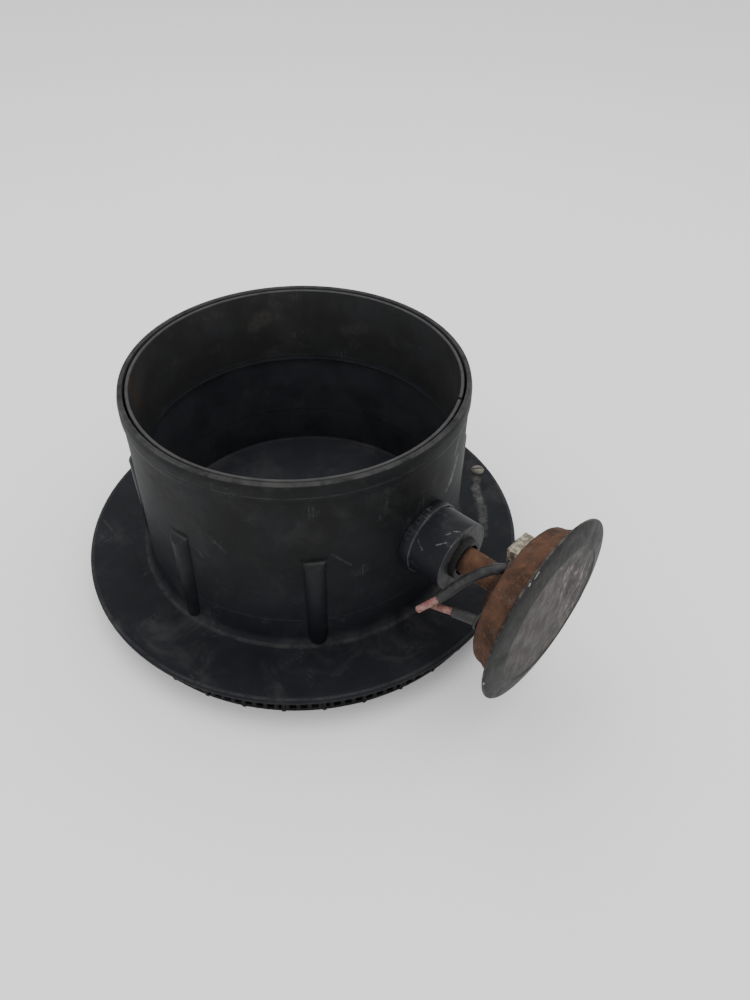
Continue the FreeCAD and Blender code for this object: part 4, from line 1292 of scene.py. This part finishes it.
@dataclass
class Lead:
    """One cut lead: grommet, faded core, black sheath over its first part, copper end."""

    which: str
    route: tuple[Place, ...]
    covered: float
    core: float = 1.9
    sheath: float = 2.75
    parts: int = field(default=24)

    def spline(self, name: str, depth: float, until: float) -> Thing:
        """Smooth curve along the route.

        Args:
            name: name of the piece.
            depth: its radius in millimetres.
            until: share of its length that shows.

        Returns:
            The curve object.
        """
        curve = bpy.data.curves.new(name, "CURVE")
        curve.dimensions = "3D"
        curve.resolution_u = self.parts
        curve.bevel_depth = depth * MM
        curve.bevel_resolution = 8
        curve.use_fill_caps = True
        curve.bevel_factor_mapping_end = "SPLINE"
        curve.bevel_factor_end = until
        spline = curve.splines.new("NURBS")
        spline.points.add(len(self.route) - 1)
        for point, place in zip(spline.points, self.route):
            point.co = (*(part * MM for part in place), 1.0)
        spline.order_u = 3
        spline.use_endpoint_u = True
        thing = bpy.data.objects.new(name, curve)
        bpy.context.scene.collection.objects.link(thing)
        return thing

    def build(self) -> None:
        core = self.spline(f"lead_{self.which}_insulation", self.core, 1.0)
        deliver(core, Body.POT, INSULATION_FINISH, [f"lead_{self.which}_core"])
        sheath = self.spline(f"lead_{self.which}_jacket", self.sheath, self.covered)
        deliver(sheath, Body.POT, SHEATH_FINISH, [f"lead_{self.which}_sheath"])
        strands = self.strands()
        deliver(strands, Body.POT, COPPER_FINISH, [f"lead_{self.which}_strands"])
        grommet = copied_from_cad(f"lead_{self.which}_collar", f"lead_{self.which}_grommet", 0.4)
        deliver(smooth(grommet), Body.POT, GROMMET_FINISH, [f"lead_{self.which}_grommet"])

    def strands(self) -> Thing:
        """Bundle of short copper strands at the bare end."""
        end = Vector(self.route[-1]) * MM
        along = (end - Vector(self.route[-2]) * MM).normalized()
        side = along.orthogonal().normalized()
        bars = []
        for index in range(7):
            reach = 0.0 if index == 0 else 0.68
            turn = Matrix.Rotation(ROUND * index / 6, 3, along)
            foot = end + (turn @ side) * reach * MM
            bars.append(rod_between(f"strand_{index}", foot - along * MM, foot + along * 0.75 * MM, 0.33 * MM, 10))
        clear_selection()
        for bar in bars:
            bar.select_set(True)
        bpy.context.view_layer.objects.active = bars[0]
        bpy.ops.object.join()
        bars[0].name = f"lead_{self.which}_copper"
        return smooth(bars[0])


UPPER_LEAD = Lead("upper", (
    (158.5, -14.5, 106.3),
    (154.0, -18.8, 107.0),
    (143.4, -27.1, 95.6),
    (136.7, -33.8, 83.2),
    (129.6, -43.6, 76.6),
), 0.76)
LOWER_LEAD = Lead("lower", (
    (160.2, -33.7, 84.5),
    (151.0, -35.2, 83.2),
    (138.2, -35.2, 77.7),
    (129.6, -32.0, 70.4),
), 0.42)


# ---------------------------------------------------------------- stage


@dataclass
class Stage:
    """Pale floor, soft lights and the camera."""

    azimuth: float = 41.2
    elevation: float = 43.32
    roll: float = 1.36
    camera_place: Place = (0.2707, -0.2395, 0.3795)
    lens: float = 27.0
    sensor: float = 36.0

    def build(self) -> None:
        """Build the floor, the world, the lights and the camera."""
        self.floor()
        self.world()
        self.light("key_overhead", (-0.05, 0.2, 1.3), 1.3, 9.0)
        self.light("fill_left", (-1.1, -0.4, 0.9), 1.0, 0.8)
        self.light("fill_right", (0.75, -0.75, 0.9), 0.9, 2.4)
        self.camera()

    def floor(self) -> None:
        """Large pale floor with its far edge out of view."""
        clear_selection()
        bpy.ops.mesh.primitive_plane_add(size=8.0, location=(0, 0, -0.0002))
        floor = bpy.context.active_object
        floor.name = "stage_floor"
        settle(floor)
        floor.data.materials.append(FLOOR_STAGE_FINISH.material())

    def world(self) -> None:
        """Even white surroundings."""
        world = bpy.data.worlds.new("studio")
        world.use_nodes = True
        background = world.node_tree.nodes["Background"]
        background.inputs["Color"].default_value = (1.0, 1.0, 1.0, 1.0)
        background.inputs["Strength"].default_value = 1.14
        bpy.context.scene.world = world

    def light(self, name: str, place: Place, size: float, power: float) -> None:
        """One square soft light aimed at the drum."""
        data = bpy.data.lights.new(name, "AREA")
        data.size = size
        data.energy = power
        lamp = bpy.data.objects.new(name, data)
        lamp.location = place
        aim = Vector((0.03, 0.0, 0.07)) - Vector(place)
        lamp.rotation_euler = aim.to_track_quat("-Z", "Y").to_euler()
        bpy.context.scene.collection.objects.link(lamp)

    def camera(self) -> None:
        """Camera looking down at the drum, with a slight roll."""
        turn = math.radians(self.azimuth)
        tilt = math.radians(self.elevation)
        lean = math.radians(self.roll)
        ahead = Vector((-math.sin(turn) * math.cos(tilt), math.cos(turn) * math.cos(tilt), -math.sin(tilt)))
        level = Vector((math.cos(turn), math.sin(turn), 0.0))
        upward = level.cross(ahead)
        right = level * math.cos(lean) + upward * math.sin(lean)
        top = upward * math.cos(lean) - level * math.sin(lean)
        data = bpy.data.cameras.new("camera")
        data.lens = self.lens
        data.sensor_width = self.sensor
        camera = bpy.data.objects.new("camera", data)
        basis = Matrix((right, top, -ahead)).transposed().to_4x4()
        camera.matrix_world = Matrix.Translation(Vector(self.camera_place)) @ basis
        bpy.context.scene.collection.objects.link(camera)
        bpy.context.scene.camera = camera


def main() -> None:
    """Build the stage and every sub-assembly."""
    logging.basicConfig(level=logging.INFO, format="%(name)s: %(message)s")
    Stage().build()
    UPPER_LEAD.build()
    LOWER_LEAD.build()
    Drum().build()
    Liner().build()
    SideBoss().build()
    SpindleSet().build()
    Pot().build()
    clear_selection()


if __name__ == "__main__":
    main()
